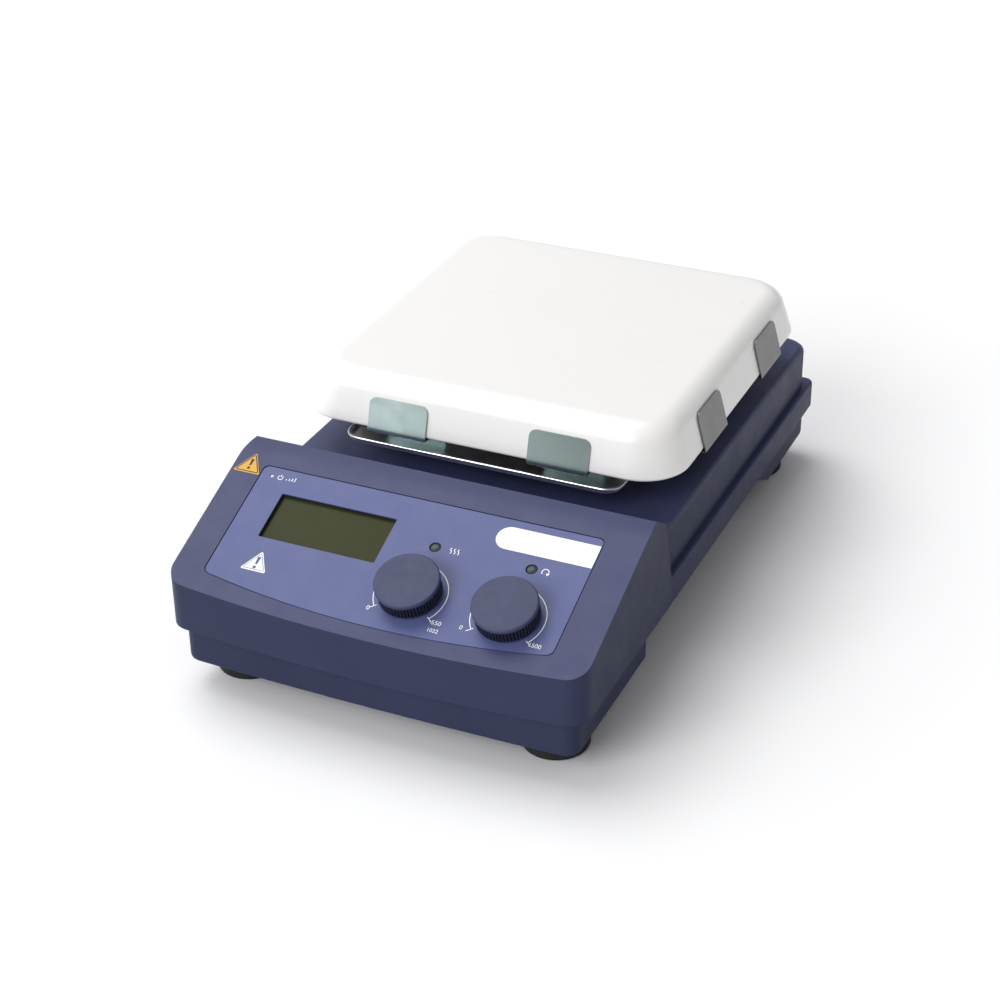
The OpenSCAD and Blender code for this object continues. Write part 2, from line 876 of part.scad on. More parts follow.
// Turns a shape made facing +Z so that it faces the rear, at a place on the rear panel
module on_rear(x, z, y = 0) {
    translate([x, pad_y + y, z]) rotate([-90, 0, 0]) children();
}

module rear_panel() {
    color([0.5, 0.52, 0.56])
        difference() {
            on_rear(0, panel_mid_z, -1.4) slab(2 * pad_half - 9, 35, 1.4, 3);
            on_rear(inlet_x, panel_mid_z, -3) slab(27.4, 31.4, 6, 2);
            on_rear(switch_x, panel_mid_z, -3) slab(13.4, 19.4, 6, 1);
            on_rear(probe_x, panel_mid_z, -3) cylinder(r = 7.05, h = 6);
            on_rear(port_x, panel_mid_z, -3) slab(10.4, 19.4, 6, 2);
            for (s = [-1, 1]) on_rear(s * (pad_half - 7.5), panel_mid_z, -3)
                cylinder(r = 1.6, h = 6);
        }
}

module rear_panel_screws() {
    color([0.7, 0.7, 0.72])
        for (s = [-1, 1]) on_rear(s * (pad_half - 7.5), panel_mid_z, 1.4)
            mirror([0, 0, 1]) screw(2.6, 1.4, 1.2, 9);
}

// Mains inlet: a flange, a case with the plug recess, and the slot of the fuse drawer
module power_inlet() {
    color([0.07, 0.07, 0.08])
        difference() {
            union() {
                on_rear(inlet_x, panel_mid_z, 0) slab(31, 35, 2, 2.5);
                on_rear(inlet_x, panel_mid_z, -22) slab(27, 31, 22, 2);
            }
            on_rear(inlet_x, panel_mid_z + 4.6, -14) linear_extrude(20)
                polygon([[-12, -7], [-12, 8], [12, 8], [12, -7], [8, -8.5], [-8, -8.5]]);
            on_rear(inlet_x, panel_mid_z - 10.5, -20.4) slab(23.4, 7.4, 24, 0.8);
        }
}

module inlet_pins() {
    color([0.8, 0.7, 0.4])
        for (p = [[-7, -2], [0, 2.6], [7, -2]])
            on_rear(inlet_x + p[0], panel_mid_z + 4.6 + p[1], -14)
                translate([-1, -2, 0]) cube([2, 4, 10]);
}

// Fuse drawer with the trough that holds the fuse
module fuse_drawer() {
    color([0.09, 0.09, 0.1])
        on_rear(inlet_x, panel_mid_z - 10.5, -19.8) difference() {
            slab(22.8, 6.8, 21.8, 0.7);
            translate([0, -0.85, 10]) cube([20.6, 7.1, 15.4], center = true);
            translate([0, -3.4, 21.2]) cube([8, 1.6, 2], center = true);
        }
}

module fuse() {
    color([0.85, 0.86, 0.82])
        translate([inlet_x, pad_y - 10.2, panel_mid_z - 10.5]) rotate([0, 90, 0]) {
            translate([0, 0, -10]) cylinder(r = 2.6, h = 5);
            translate([0, 0, -5]) cylinder(r = 2.4, h = 10);
            translate([0, 0, 5]) cylinder(r = 2.6, h = 5);
        }
}

module switch_body() {
    color([0.07, 0.07, 0.08])
        difference() {
            union() {
                on_rear(switch_x, panel_mid_z, 0) slab(15, 21, 1.6, 1.2);
                on_rear(switch_x, panel_mid_z, -15) slab(13, 19, 15, 0.8);
            }
            on_rear(switch_x, panel_mid_z, -12) slab(11, 17, 20, 0.4, 2);
            switch_pin(1.06, 14);
        }
}

// Pivot pin across the switch
module switch_pin(r, length) {
    translate([switch_x, pad_y - pin_depth, panel_mid_z]) rotate([0, 90, 0])
        cylinder(r = r, h = length, center = true);
}

// Rocker: two flat faces meeting at a shallow angle, tilted about its pin
module switch_rocker() {
    rocker_tilt = -7;
    color([0.12, 0.12, 0.13]) {
        translate([switch_x, pad_y - pin_depth, panel_mid_z]) rotate([rocker_tilt, 0, 0])
            rotate([90, 0, 90]) linear_extrude(10.2, center = true) polygon([
                [-3, -3], [5.8, -7.4], [6.8, -7.2], [5.6, 0], [6.8, 7.2], [5.8, 7.4], [-3, 3]
            ]);
        switch_pin(1, 12.6);
    }
}

module probe_socket() {
    color([0.75, 0.76, 0.78])
        difference() {
            union() {
                on_rear(probe_x, panel_mid_z, 0) cylinder(r = 9, h = 1.6);
                on_rear(probe_x, panel_mid_z, -14) cylinder(r = 7, h = 14);
            }
            for (i = [0:4]) on_rear(probe_x, panel_mid_z, -4)
                rotate([0, 0, i * 72]) translate([3.4, 0, 0]) cylinder(r = 0.8, h = 8);
        }
}

module data_port() {
    color([0.6, 0.61, 0.63])
        difference() {
            union() {
                on_rear(port_x, panel_mid_z, 0) slab(12.5, 31, 1, 1.5);
                on_rear(port_x, panel_mid_z, -10) slab(10, 19, 11.8, 2.2);
            }
            for (i = [-2:2]) on_rear(port_x + 1.4, panel_mid_z + i * 2.76, -4)
                cylinder(r = 0.55, h = 8);
            for (i = [-1.5:1:1.5]) on_rear(port_x - 1.4, panel_mid_z + i * 2.76, -4)
                cylinder(r = 0.55, h = 8);
        }
}

// Threaded socket for the support rod, set in the deck behind the plate
module rod_socket() {
    rod_r = 4.25;
    color([0.75, 0.76, 0.78])
        difference() {
            union() {
                translate([rod_x, rod_y, deck_z - 20]) cylinder(r = 6.9, h = 20);
                translate([rod_x, rod_y, deck_z - wall - 3.1]) cylinder(r = 7.4, h = 3);
            }
            translate([rod_x, rod_y, deck_z - 18]) cylinder(r = rod_r, h = 30);
        }
}

raised() front_housing();
raised() rear_housing();
raised() base_pan();
raised() rubber_feet();
raised() foot_screws();
raised() panel_overlay();
raised() label_plate();
raised() caution_sticker();
raised() lcd_window();
raised() lcd_module();
raised() display_board();
raised() board_screws();
raised() power_lamp();
raised() heat_lamp();
raised() stir_lamp();
raised() heat_encoder();
raised() stir_encoder();
raised() encoder_nuts();
raised() heat_shaft();
raised() stir_shaft();
raised() heat_knob();
raised() stir_knob();
raised() power_board();
raised() board_posts();
raised() transformer();
raised() heat_sink();
raised() capacitors();
raised() motor_bracket();
raised() bracket_screws();
raised() motor_stator();
raised() motor_bearings();
raised() motor_screws();
raised() motor_shaft();
raised() magnet_carrier();
raised() drive_magnets();
raised() heating_plate();
raised() heating_element();
raised() insulation_sheet();
raised() element_clamp();
raised() plate_sensor();
raised() heat_shield();
raised() plate_posts();
raised() post_screws();
raised() plate_clips(0, clip_top);  // plate_clips_front
raised() plate_clips(180, clip_top);  // plate_clips_rear
raised() plate_clips(-90, side_clip_top);  // plate_clips_left
raised() plate_clips(90, side_clip_top);  // plate_clips_right
raised() rear_panel();
raised() rear_panel_screws();
raised() power_inlet();
raised() inlet_pins();
raised() fuse_drawer();
raised() fuse();
raised() switch_body();
raised() switch_rocker();
raised() probe_socket();
raised() data_port();
raised() rod_socket();
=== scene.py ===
import json
import math

import bmesh
import bpy
from mathutils import Matrix, Vector


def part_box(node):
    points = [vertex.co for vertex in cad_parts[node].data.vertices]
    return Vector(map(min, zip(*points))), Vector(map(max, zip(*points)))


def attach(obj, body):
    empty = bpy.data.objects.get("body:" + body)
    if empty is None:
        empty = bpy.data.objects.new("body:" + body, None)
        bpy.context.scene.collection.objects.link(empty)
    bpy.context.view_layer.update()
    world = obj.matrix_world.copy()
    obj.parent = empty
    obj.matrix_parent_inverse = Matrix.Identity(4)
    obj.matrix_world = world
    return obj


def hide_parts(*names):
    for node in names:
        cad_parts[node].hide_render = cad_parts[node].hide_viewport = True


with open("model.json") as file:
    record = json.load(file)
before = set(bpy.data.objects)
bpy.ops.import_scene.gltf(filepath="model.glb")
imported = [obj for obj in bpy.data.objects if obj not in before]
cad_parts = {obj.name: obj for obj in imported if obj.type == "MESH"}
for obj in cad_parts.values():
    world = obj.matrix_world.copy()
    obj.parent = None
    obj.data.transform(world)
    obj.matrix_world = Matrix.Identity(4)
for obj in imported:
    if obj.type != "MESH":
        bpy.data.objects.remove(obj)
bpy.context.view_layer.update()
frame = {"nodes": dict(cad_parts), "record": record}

# ---------------------------------------------------------------- sizes, in millimetres

MM = 0.001
NODES = frame["nodes"]
JOINTS = {joint["name"]: joint for joint in frame["record"]["behaviour"]["joints"]}


def box_mm(node):
    """Lowest and highest corner of a CAD node, in millimetres."""
    low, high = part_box(node)
    return low / MM, high / MM


CASE_LOW = box_mm("front_housing")[0]
CASE_HIGH = box_mm("rear_housing")[1]
PAN_LOW, PAN_HIGH = box_mm("base_pan")
PLATE_LOW, PLATE_HIGH = box_mm("heating_plate")
SHIELD_LOW, SHIELD_HIGH = box_mm("heat_shield")
FOOT_HIGH = box_mm("rubber_feet")[1]
OVERLAY_LOW, OVERLAY_HIGH = box_mm("panel_overlay")
LABEL_LOW, LABEL_HIGH = box_mm("label_plate")
WINDOW_LOW, WINDOW_HIGH = box_mm("lcd_window")

HALF_W = -CASE_LOW.x
FRONT_Y = CASE_LOW.y
PAD_Y = CASE_HIGH.y
CASE_Z = CASE_LOW.z
FOOT_DROP = 5.5
BOX_Z = 28.5 + FOOT_DROP
RIDGE_Z = 88.5 + FOOT_DROP
PLATE_Y = (PLATE_LOW.y + PLATE_HIGH.y) / 2
RIM_HALF = PLATE_HIGH.x
RIM_Z = PLATE_LOW.z
TOP_Z = PLATE_HIGH.z

WALL = 3.0
FRONT_BOW = 5.8
BOW_R = (HALF_W ** 2 + FRONT_BOW ** 2) / (2 * FRONT_BOW)
BOX_CORNER = 11.0
CROWN_R = 49.0
CROWN_Y = -83.0
BROW = (-66.5, 76.0 + FOOT_DROP)
BACK_LEAN = math.radians(32.4)
REAR_SLOPE = math.radians(75.5)
SHOULDER = (-84.5, 57.6 + FOOT_DROP)
SHOULDER_LEAN = math.radians(20)
SHOULDER_TURN = math.radians(5.5)
DECK_Z = 65.5 + FOOT_DROP
LEDGE_Z = 39.5 + FOOT_DROP
DECK_HALF = HALF_W - 5.65
DECK_BACK = PAD_Y - 1.0
BAND_HALF = HALF_W - 2.0
RUN_START = -74.0
PAN_BOW_R = 2700.0
PAN_CORNER = 7.5
GRIP_FRONT = -82.0
GRIP_BACK_TOP = 77.0
GRIP_BACK_FOOT = 120.0
FOOT_R = 16.5
PAD_HALF = 76.0
PAD_SPAN = (26.0 + FOOT_DROP, 64.0 + FOOT_DROP)
PANEL_MID_Z = 45.0 + FOOT_DROP
WELL_R = 44.0
POST_AT = 62.0
CLIP_W = 32.5
CLIP_AT = 43.8
CLIP_T = 0.8
SHIELD_WING = 75.5
SHIELD_BEAD = 0.75
PLATE_EDGE_R = 11.5
PLATE_INSET = 15.4
PLATE_LEAN = 15.3
RIM_CORNER = 24.5
CLIP_GAP = 0.25
CLIP_TIP_R = 4.0
CLIP_BEND = 0.9
CLIP_FOLD = 0.45
PAN_GRIP_DEPTH = 14.0


def panel_axes():
    """The panel's slope and the height and depth of its ridge, from the knob joints."""
    joint = JOINTS["heat_knob_turn"]
    out = -Vector(joint["axis"]).normalized()
    slope = math.atan2(-out.y, out.z)
    centre = Vector(joint["pos_m"]) / MM
    ridge_y = centre.y + (RIDGE_Z - centre.z) / math.tan(slope)
    return slope, ridge_y


PANEL_SLOPE, RIDGE_Y = panel_axes()
PANEL = Matrix.Translation((0, RIDGE_Y, RIDGE_Z)) @ Matrix.Rotation(PANEL_SLOPE, 4, "X")
PANEL_OUT = Vector((0, -math.sin(PANEL_SLOPE), math.cos(PANEL_SLOPE)))
CROWN_Z = RIDGE_Z + (
    (CROWN_Y - RIDGE_Y) * math.sin(PANEL_SLOPE) - CROWN_R) / math.cos(PANEL_SLOPE)
CROWN_START = (RIDGE_Y - CROWN_Y + CROWN_R * math.sin(PANEL_SLOPE)) / math.cos(PANEL_SLOPE)


def down_slope(point_m):
    """Distance of a point in metres from the ridge, down the panel's slope."""
    return -(PANEL.inverted() @ (Vector(point_m) / MM)).y


HEAT_U = JOINTS["heat_knob_turn"]["pos_m"][0] / MM
STIR_U = JOINTS["stir_knob_turn"]["pos_m"][0] / MM
KNOB_V = down_slope(JOINTS["heat_knob_turn"]["pos_m"])
LAMP_V = 40.8
LAMP_R = 2.8
POWER_LAMP = (-85.2, 21.1)
OVERLAY_TOP_N = -0.1
OVERLAY_DEPTH = 0.7
KNOB_R = 15.8
KNOB_H = 10.7

# ---------------------------------------------------------------- mesh helpers


def arc(cx, cy, radius, start, end, steps):
    """Points along an arc, with angles in degrees."""
    points = []
    for i in range(steps + 1):
        a = math.radians(start + (end - start) * i / steps)
        points.append((cx + radius * math.cos(a), cy + radius * math.sin(a)))
    return points


def circle(radius, steps, cx=0, cy=0):
    """Points round a full circle, without a repeated end point."""
    return arc(cx, cy, radius, 0, 360, steps)[:-1]


def radians(*angles):
    """Angles given in degrees, in radians."""
    return [math.radians(angle) for angle in angles]


def round_rect(width, depth, radius, steps=8):
    """Outline of a rectangle with round corners, centred on the origin."""
    x, y = width / 2 - radius, depth / 2 - radius
    corners = [(x, -y, -90), (x, y, 0), (-x, y, 90), (-x, -y, 180)]
    return [p for cx, cy, a in corners for p in arc(cx, cy, radius, a, a + 90, steps)]


def bowed_outline(half, big, corner, front_y, steps=14, bow_steps=40):
    """Front part of a plan outline: two round corners and a large bow between them."""
    cy = front_y + big
    corner_y = cy - math.sqrt((big - corner) ** 2 - (half - corner) ** 2)
    turn = math.degrees(math.atan2(corner_y - cy, half - corner))
    return (
        arc(-half + corner, corner_y, corner, 180, 180 - turn, steps)
        + arc(0, cy, big, 180 - turn, 360 + turn, bow_steps)[1:-1]
        + arc(half - corner, corner_y, corner, turn, 0, steps)
    )


def new_object(name, bm, matrix=None):
    """Turns a bmesh in millimetres into an object in metres, and frees the bmesh."""
    if matrix is not None:
        bm.transform(matrix)
    bm.transform(Matrix.Scale(MM, 4))
    bmesh.ops.recalc_face_normals(bm, faces=bm.faces)
    mesh = bpy.data.meshes.new(name)
    bm.to_mesh(mesh)
    bm.free()
    obj = bpy.data.objects.new(name, mesh)
    bpy.context.scene.collection.objects.link(obj)
    return obj


def loft(bm, rings, closed=False):
    """Skins a list of rings with the same number of points each, and caps an open one."""
    rows = [[bm.verts.new(p) for p in ring] for ring in rings]
    count = len(rows[0])
    pairs = list(zip(rows, rows[1:]))
    if closed:
        pairs.append((rows[-1], rows[0]))
    for low, high in pairs:
        for i in range(count):
            j = (i + 1) % count
            bm.faces.new((low[i], low[j], high[j], high[i]))
    if not closed:
        bm.faces.new(list(reversed(rows[0])))
        bm.faces.new(rows[-1])


def at_height(outline, z):
    """A plan outline as a ring of points at one height."""
    return [(x, y, z) for x, y in outline]


def lofted(name, rings, matrix=None, closed=False):
    """An object skinned from rings of points."""
    bm = bmesh.new()
    loft(bm, rings, closed)
    return new_object(name, bm, matrix)


def prism(bm, outline, z_low, z_high):
    """A straight extrusion of a plan outline."""
    loft(bm, [at_height(outline, z) for z in (z_low, z_high)])


def slice_off(bm, point, normal):
    """Cuts a convex solid by a plane, drops what is outside, and closes the cut."""
    geometry = bm.verts[:] + bm.edges[:] + bm.faces[:]
    result = bmesh.ops.bisect_plane(
        bm, geom=geometry, plane_co=point, plane_no=normal, clear_outer=True, dist=1e-5
    )
    edges = [e for e in result["geom_cut"] if isinstance(e, bmesh.types.BMEdge)]
    if edges:
        bmesh.ops.holes_fill(bm, edges=[e for e in edges if e.is_boundary], sides=0)


def evaluated(obj):
    """Replaces an object's mesh by the result of its modifiers."""
    graph = bpy.context.evaluated_depsgraph_get()
    mesh = bpy.data.meshes.new_from_object(obj.evaluated_get(graph))
    obj.modifiers.clear()
    obj.data = mesh
    return obj


def soften(obj, width_of, segments=3):
    """Rounds each edge by the width in millimetres that width_of(edge, angle) gives it."""
    bm = bmesh.new()
    bm.from_mesh(obj.data)
    widths = []
    for edge in bm.edges:
        angle = edge.calc_face_angle(0.0) if len(edge.link_faces) == 2 else 0.0
        widths.append(width_of(edge, math.degrees(angle)))
    bm.free()
    widest = max(widths)
    if widest <= 0:
        return obj
    weights = obj.data.attributes.new("bevel_weight_edge", "FLOAT", "EDGE")
    weights.data.foreach_set("value", [w / widest for w in widths])
    bevel = obj.modifiers.new("bevel", "BEVEL")
    bevel.limit_method = "WEIGHT"
    bevel.width = widest * MM
    bevel.segments = segments
    bevel.offset_type = "OFFSET"
    bevel.miter_outer = "MITER_ARC"
    bevel.use_clamp_overlap = True
    return evaluated(obj)


def even(width, least_angle=40):
    """A rule for soften: one width for every edge that turns more than least_angle."""
    return lambda edge, angle: width if angle > least_angle else 0.0


def combine(obj, other, operation):
    """Boolean of two closed objects; the second one is used up."""
    modifier = obj.modifiers.new("cut", "BOOLEAN")
    modifier.operation = operation
    modifier.solver = "EXACT"
    modifier.object = other
    evaluated(obj)
    bpy.data.objects.remove(other)


def cut(obj, *cutters):
    """Takes each cutter away from an object, in order."""
    for cutter in cutters:
        combine(obj, cutter, "DIFFERENCE")


def finish_surface(obj, angle=32.0):
    """Smooth shading with sharp creases, and normals that keep flat faces flat."""
    mesh = obj.data
    mesh.polygons.foreach_set("use_smooth", [True] * len(mesh.polygons))
    mesh.set_sharp_from_angle(angle=math.radians(angle))
    weighted = obj.modifiers.new("flat_faces", "WEIGHTED_NORMAL")
    weighted.keep_sharp = True
    return obj


def lathe(bm, profile, steps):
    """Turns a profile of (radius, height) points about Z and caps its ends."""
    loft(bm, [at_height(circle(radius, steps), height) for radius, height in profile])


def cylinder(name, radius, z_low, z_high, matrix=Matrix.Identity(4), steps=64):
    """A plain closed cylinder, used as a cutter."""
    return block(name, circle(radius, steps), z_low, z_high, matrix)


def block(name, outline, z_low, z_high, matrix=Matrix.Identity(4)):
    """A closed extrusion of an outline, used as a cutter."""
    bm = bmesh.new()
    prism(bm, outline, z_low, z_high)
    return new_object(name, bm, matrix)


def at_panel(u, v):
    """Matrix of a point on the panel: X across, Y up the slope, Z out of it."""
    return PANEL @ Matrix.Translation((u, -v, 0))


def at_rear(z):
    """Matrix of a point up the middle of the rear pad, with Z out of it."""
    return Matrix.Translation((0, PAD_Y, z)) @ Matrix.Rotation(-math.pi / 2, 4, "X")


# ---------------------------------------------------------------- materials


class Graph:
    """A small helper that adds nodes to a material and links them."""

    def __init__(self, name):
        self.material = bpy.data.materials.new(name)
        self.material.use_nodes = True
        self.nodes = self.material.node_tree.nodes
        self.links = self.material.node_tree.links
        self.shader = self.nodes["Principled BSDF"]
        self.place = self.nodes.new("ShaderNodeTexCoord").outputs["Object"]

    def noise(self, size_mm, detail=3.0, roughness=0.55, stretch=None):
        """Noise whose features are about size_mm across."""
        place = self.place
        if stretch:
            mapping = self.nodes.new("ShaderNodeMapping")
            mapping.inputs["Scale"].default_value = stretch
            self.links.new(place, mapping.inputs["Vector"])
            place = mapping.outputs["Vector"]
        node = self.nodes.new("ShaderNodeTexNoise")
        node.inputs["Scale"].default_value = 1.0 / (size_mm * MM)
        node.inputs["Detail"].default_value = detail
        node.inputs["Roughness"].default_value = roughness
        self.links.new(place, node.inputs["Vector"])
        return node.outputs["Fac"]

    def spread(self, value, low, high, from_low=0.3, from_high=0.7):
        """Maps a value to a range."""
        node = self.nodes.new("ShaderNodeMapRange")
        node.inputs["From Min"].default_value = from_low
        node.inputs["From Max"].default_value = from_high
        node.inputs["To Min"].default_value = low
        node.inputs["To Max"].default_value = high
        self.links.new(value, node.inputs["Value"])
        return node.outputs["Result"]

    def upward(self):
        """How far a face looks up: 0 when upright, 1 when level."""
        split = self.nodes.new("ShaderNodeSeparateXYZ")
        normal = self.nodes.new("ShaderNodeTexCoord").outputs["Normal"]
        self.links.new(normal, split.inputs["Vector"])
        return self.spread(split.outputs["Z"], 0.0, 1.0, 0.1, 0.93)

    def across(self):
        """Position from left to right: 0 at the left clips, 1 at the right ones."""
        split = self.nodes.new("ShaderNodeSeparateXYZ")
        self.links.new(self.place, split.inputs["Vector"])
        return self.spread(split.outputs["X"], 0.0, 1.0, -0.045, 0.055)

    def mix(self, factor, first, second):
        """Mixes two colours, each a tuple or an output."""
        node = self.nodes.new("ShaderNodeMix")
        node.data_type = "RGBA"
        self.links.new(factor, node.inputs["Factor"])
        for name, colour in (("A", first), ("B", second)):
            socket = [s for s in node.inputs if s.name == name and s.type == "RGBA"][0]
            if isinstance(colour, tuple):
                socket.default_value = (*colour, 1.0)
            else:
                self.links.new(colour, socket)
        return [s for s in node.outputs if s.type == "RGBA"][0]

    def bump(self, height, depth_mm, strength):
        """Adds a bump of about depth_mm to the shader's normal."""
        node = self.nodes.new("ShaderNodeBump")
        node.inputs["Strength"].default_value = strength
        node.inputs["Distance"].default_value = depth_mm * MM
        self.links.new(height, node.inputs["Height"])
        normal = self.shader.inputs["Normal"]
        if normal.is_linked:
            self.links.new(normal.links[0].from_socket, node.inputs["Normal"])
        self.links.new(node.outputs["Normal"], normal)

    def set(self, **values):
        """Sets plain values on the shader's own sockets."""
        for name, value in values.items():
            self.shader.inputs[name.replace("_", " ")].default_value = value

    def use(self, colour, roughness):
        """Links a colour and a roughness to the shader."""
        self.links.new(colour, self.shader.inputs["Base Color"])
        self.links.new(roughness, self.shader.inputs["Roughness"])


def scaled(colour, factor):
    """A colour times a factor, with no channel over 1."""
    return tuple(min(1.0, c * factor) for c in colour)


def enamel(name, colour, shine=0.42):
    """Semi-gloss enamel with orange peel and faint mottling, and painted shade: darker on upright
    faces, lighter and bluer on level ones.
    """
    g = Graph(name)
    # Painted shade: upright faces take the colour at 0.72 and level faces a lighter, bluer copy,
    # standing in for light from above.
    level = (colour[0] * 1.17, colour[1] * 1.18, colour[2] * 1.3)
    tone = g.mix(g.upward(), scaled(colour, 0.72), level)
    cloud = g.spread(g.noise(45, 4.0), 0.0, 0.12)
    tone = g.mix(cloud, tone, scaled(colour, 1.6))
    speck = g.spread(g.noise(0.9, 2.0), 0.0, 0.35, 0.62, 0.75)
    tone = g.mix(speck, tone, scaled(colour, 1.5))
    rough = g.spread(g.noise(14, 6.0, 0.7), shine - 0.05, shine + 0.07)
    g.use(tone, rough)
    g.bump(g.noise(1.6, 2.0), 0.05, 0.35)
    g.bump(g.noise(0.35, 1.0), 0.012, 0.3)
    sheen = g.spread(g.upward(), 0.08, 0.27, 0.0, 1.0)
    g.links.new(sheen, g.shader.inputs["Specular IOR Level"])
    return g.material


def plastic(name, colour, shine=0.45, grain_mm=0.35, depth_mm=0.03):
    """Moulded plastic with a fine spark-eroded grain and handling marks."""
    g = Graph(name)
    cloud = g.spread(g.noise(12, 4.0), 0.0, 1.0)
    tone = g.mix(cloud, scaled(colour, 0.94), scaled(colour, 1.06))
    rough = g.spread(g.noise(5, 6.0, 0.7), shine - 0.06, shine + 0.08)
    g.use(tone, rough)
    g.bump(g.noise(grain_mm, 2.0), depth_mm, 0.45)
    g.set(Specular_IOR_Level=0.25)
    return g.material


def glazed(name, colour):
    """White glazed ceramic coat: slight waviness, pinholes and faint warm staining."""
    g = Graph(name)
    stain = g.spread(g.noise(60, 1.0), 0.0, 1.0, 0.0, 1.0)
    warm = (colour[0] * 0.992, colour[1] * 0.987, colour[2] * 0.975)
    tone = g.mix(stain, colour, warm)
    pin = g.spread(g.noise(0.7, 1.0), 0.0, 0.05, 0.76, 0.82)
    tone = g.mix(pin, tone, scaled(colour, 0.72))
    rough = g.spread(g.noise(25, 1.0), 0.24, 0.36, 0.0, 1.0)
    g.use(tone, rough)
    g.bump(g.noise(14.0, 0.0), 0.03, 0.05)
    g.set(Coat_Weight=0.15, Coat_Roughness=0.15)
    return g.material


def steel(name, colour, shine=0.25, stretch=(1.0, 1.0, 1.0), grain_mm=0.5, depth_mm=0.01,
          painted_reflection_shade=1.0):
    """Sheet or turned metal with a drawn grain, and, if asked, a painted reflection that darkens it
    towards the right.
    """
    g = Graph(name)
    blotch = g.spread(g.noise(9, 4.0), 0.0, 1.0)
    tone = g.mix(blotch, scaled(colour, 0.9), scaled(colour, 1.06))
    # Painted reflection: the tone darkens across the part towards the right.
    if painted_reflection_shade < 1.0:
        tone = g.mix(g.across(), tone, scaled(colour, painted_reflection_shade))
    grain = g.noise(grain_mm, 3.0, 0.6, stretch)
    rough = g.spread(grain, shine - 0.05, shine + 0.1)
    g.use(tone, rough)
    g.bump(grain, depth_mm, 0.35)
    g.set(Metallic=1.0)
    return g.material


def rubber(name, colour):
    """Black rubber: matte, dusty in patches, slightly pitted."""
    g = Graph(name)
    dust = g.spread(g.noise(7, 6.0, 0.7), 0.0, 0.5, 0.45, 0.8)
    g.use(g.mix(dust, colour, scaled(colour, 3.0)), g.spread(g.noise(3, 4.0), 0.6, 0.85))
    g.bump(g.noise(0.5, 3.0), 0.06, 0.5)
    g.set(Specular_IOR_Level=0.35)
    return g.material


def film(name, colour, shine=0.42):
    """Printed polyester film: even colour, very fine texture, soft sheen."""
    g = Graph(name)
    cloud = g.spread(g.noise(80, 2.0), 0.0, 1.0)
    tone = g.mix(cloud, scaled(colour, 0.97), scaled(colour, 1.03))
    grain = g.noise(0.25, 2.0)
    tone = g.mix(g.spread(grain, 0.0, 0.12), tone, scaled(colour, 1.3))
    g.use(tone, g.spread(g.noise(10, 5.0, 0.7), shine - 0.05, shine + 0.06))
    g.bump(grain, 0.012, 0.3)
    g.set(Specular_IOR_Level=0.3)
    return g.material


def display_glass(name, colour):
    """Unlit liquid-crystal display behind a clear window."""
    g = Graph(name)
    cloud = g.spread(g.noise(30, 2.0), 0.0, 1.0)
    tone = g.mix(cloud, scaled(colour, 0.92), scaled(colour, 1.1))
    weave = g.spread(g.noise(0.3, 1.0), 0.0, 0.12)
    tone = g.mix(weave, tone, scaled(colour, 1.6))
    g.use(tone, g.spread(g.noise(8, 4.0), 0.16, 0.24))
    g.bump(g.noise(12, 1.0), 0.01, 0.15)
    g.set(Specular_IOR_Level=0.08)
    return g.material


def board(name, colour):
    """Circuit board: solder mask over faint copper tracks."""
    g = Graph(name)
    tracks = g.nodes.new("ShaderNodeTexBrick")
    tracks.inputs["Scale"].default_value = 180
    tracks.inputs["Mortar Size"].default_value = 0.03
    tracks.inputs["Color1"].default_value = (*colour, 1)
    tracks.inputs["Color2"].default_value = (*scaled(colour, 0.8), 1)
    tracks.inputs["Mortar"].default_value = (*scaled(colour, 1.9), 1)
    g.links.new(g.place, tracks.inputs["Vector"])
    tone = g.mix(g.spread(g.noise(2, 3.0), 0.0, 0.5), tracks.outputs["Color"], scaled(colour, 1.3))
    g.use(tone, g.spread(g.noise(6, 3.0), 0.25, 0.4))
    g.bump(tracks.outputs["Fac"], 0.03, 0.4)
    return g.material


def fibre(name, colour, size_mm=1.2):
    """Pressed mineral board, matte and fibrous."""
    g = Graph(name)
    strands = g.noise(size_mm, 6.0, 0.7, (1.0, 0.3, 1.0))
    tone = g.mix(g.spread(strands, 0.0, 1.0), scaled(colour, 0.82), scaled(colour, 1.1))
    g.use(tone, g.spread(g.noise(4, 3.0), 0.7, 0.9))
    g.bump(strands, 0.15, 0.5)
    return g.material


def clear_glass(name, colour):
    """Clear glass with a faint tint."""
    g = Graph(name)
    tone = g.mix(g.spread(g.noise(3, 2.0), 0.0, 1.0), scaled(colour, 0.95), colour)
    g.use(tone, g.spread(g.noise(2, 3.0), 0.03, 0.09))
    g.set(Transmission_Weight=0.75, IOR=1.47)
    g.bump(g.noise(4, 1.0), 0.01, 0.1)
    return g.material


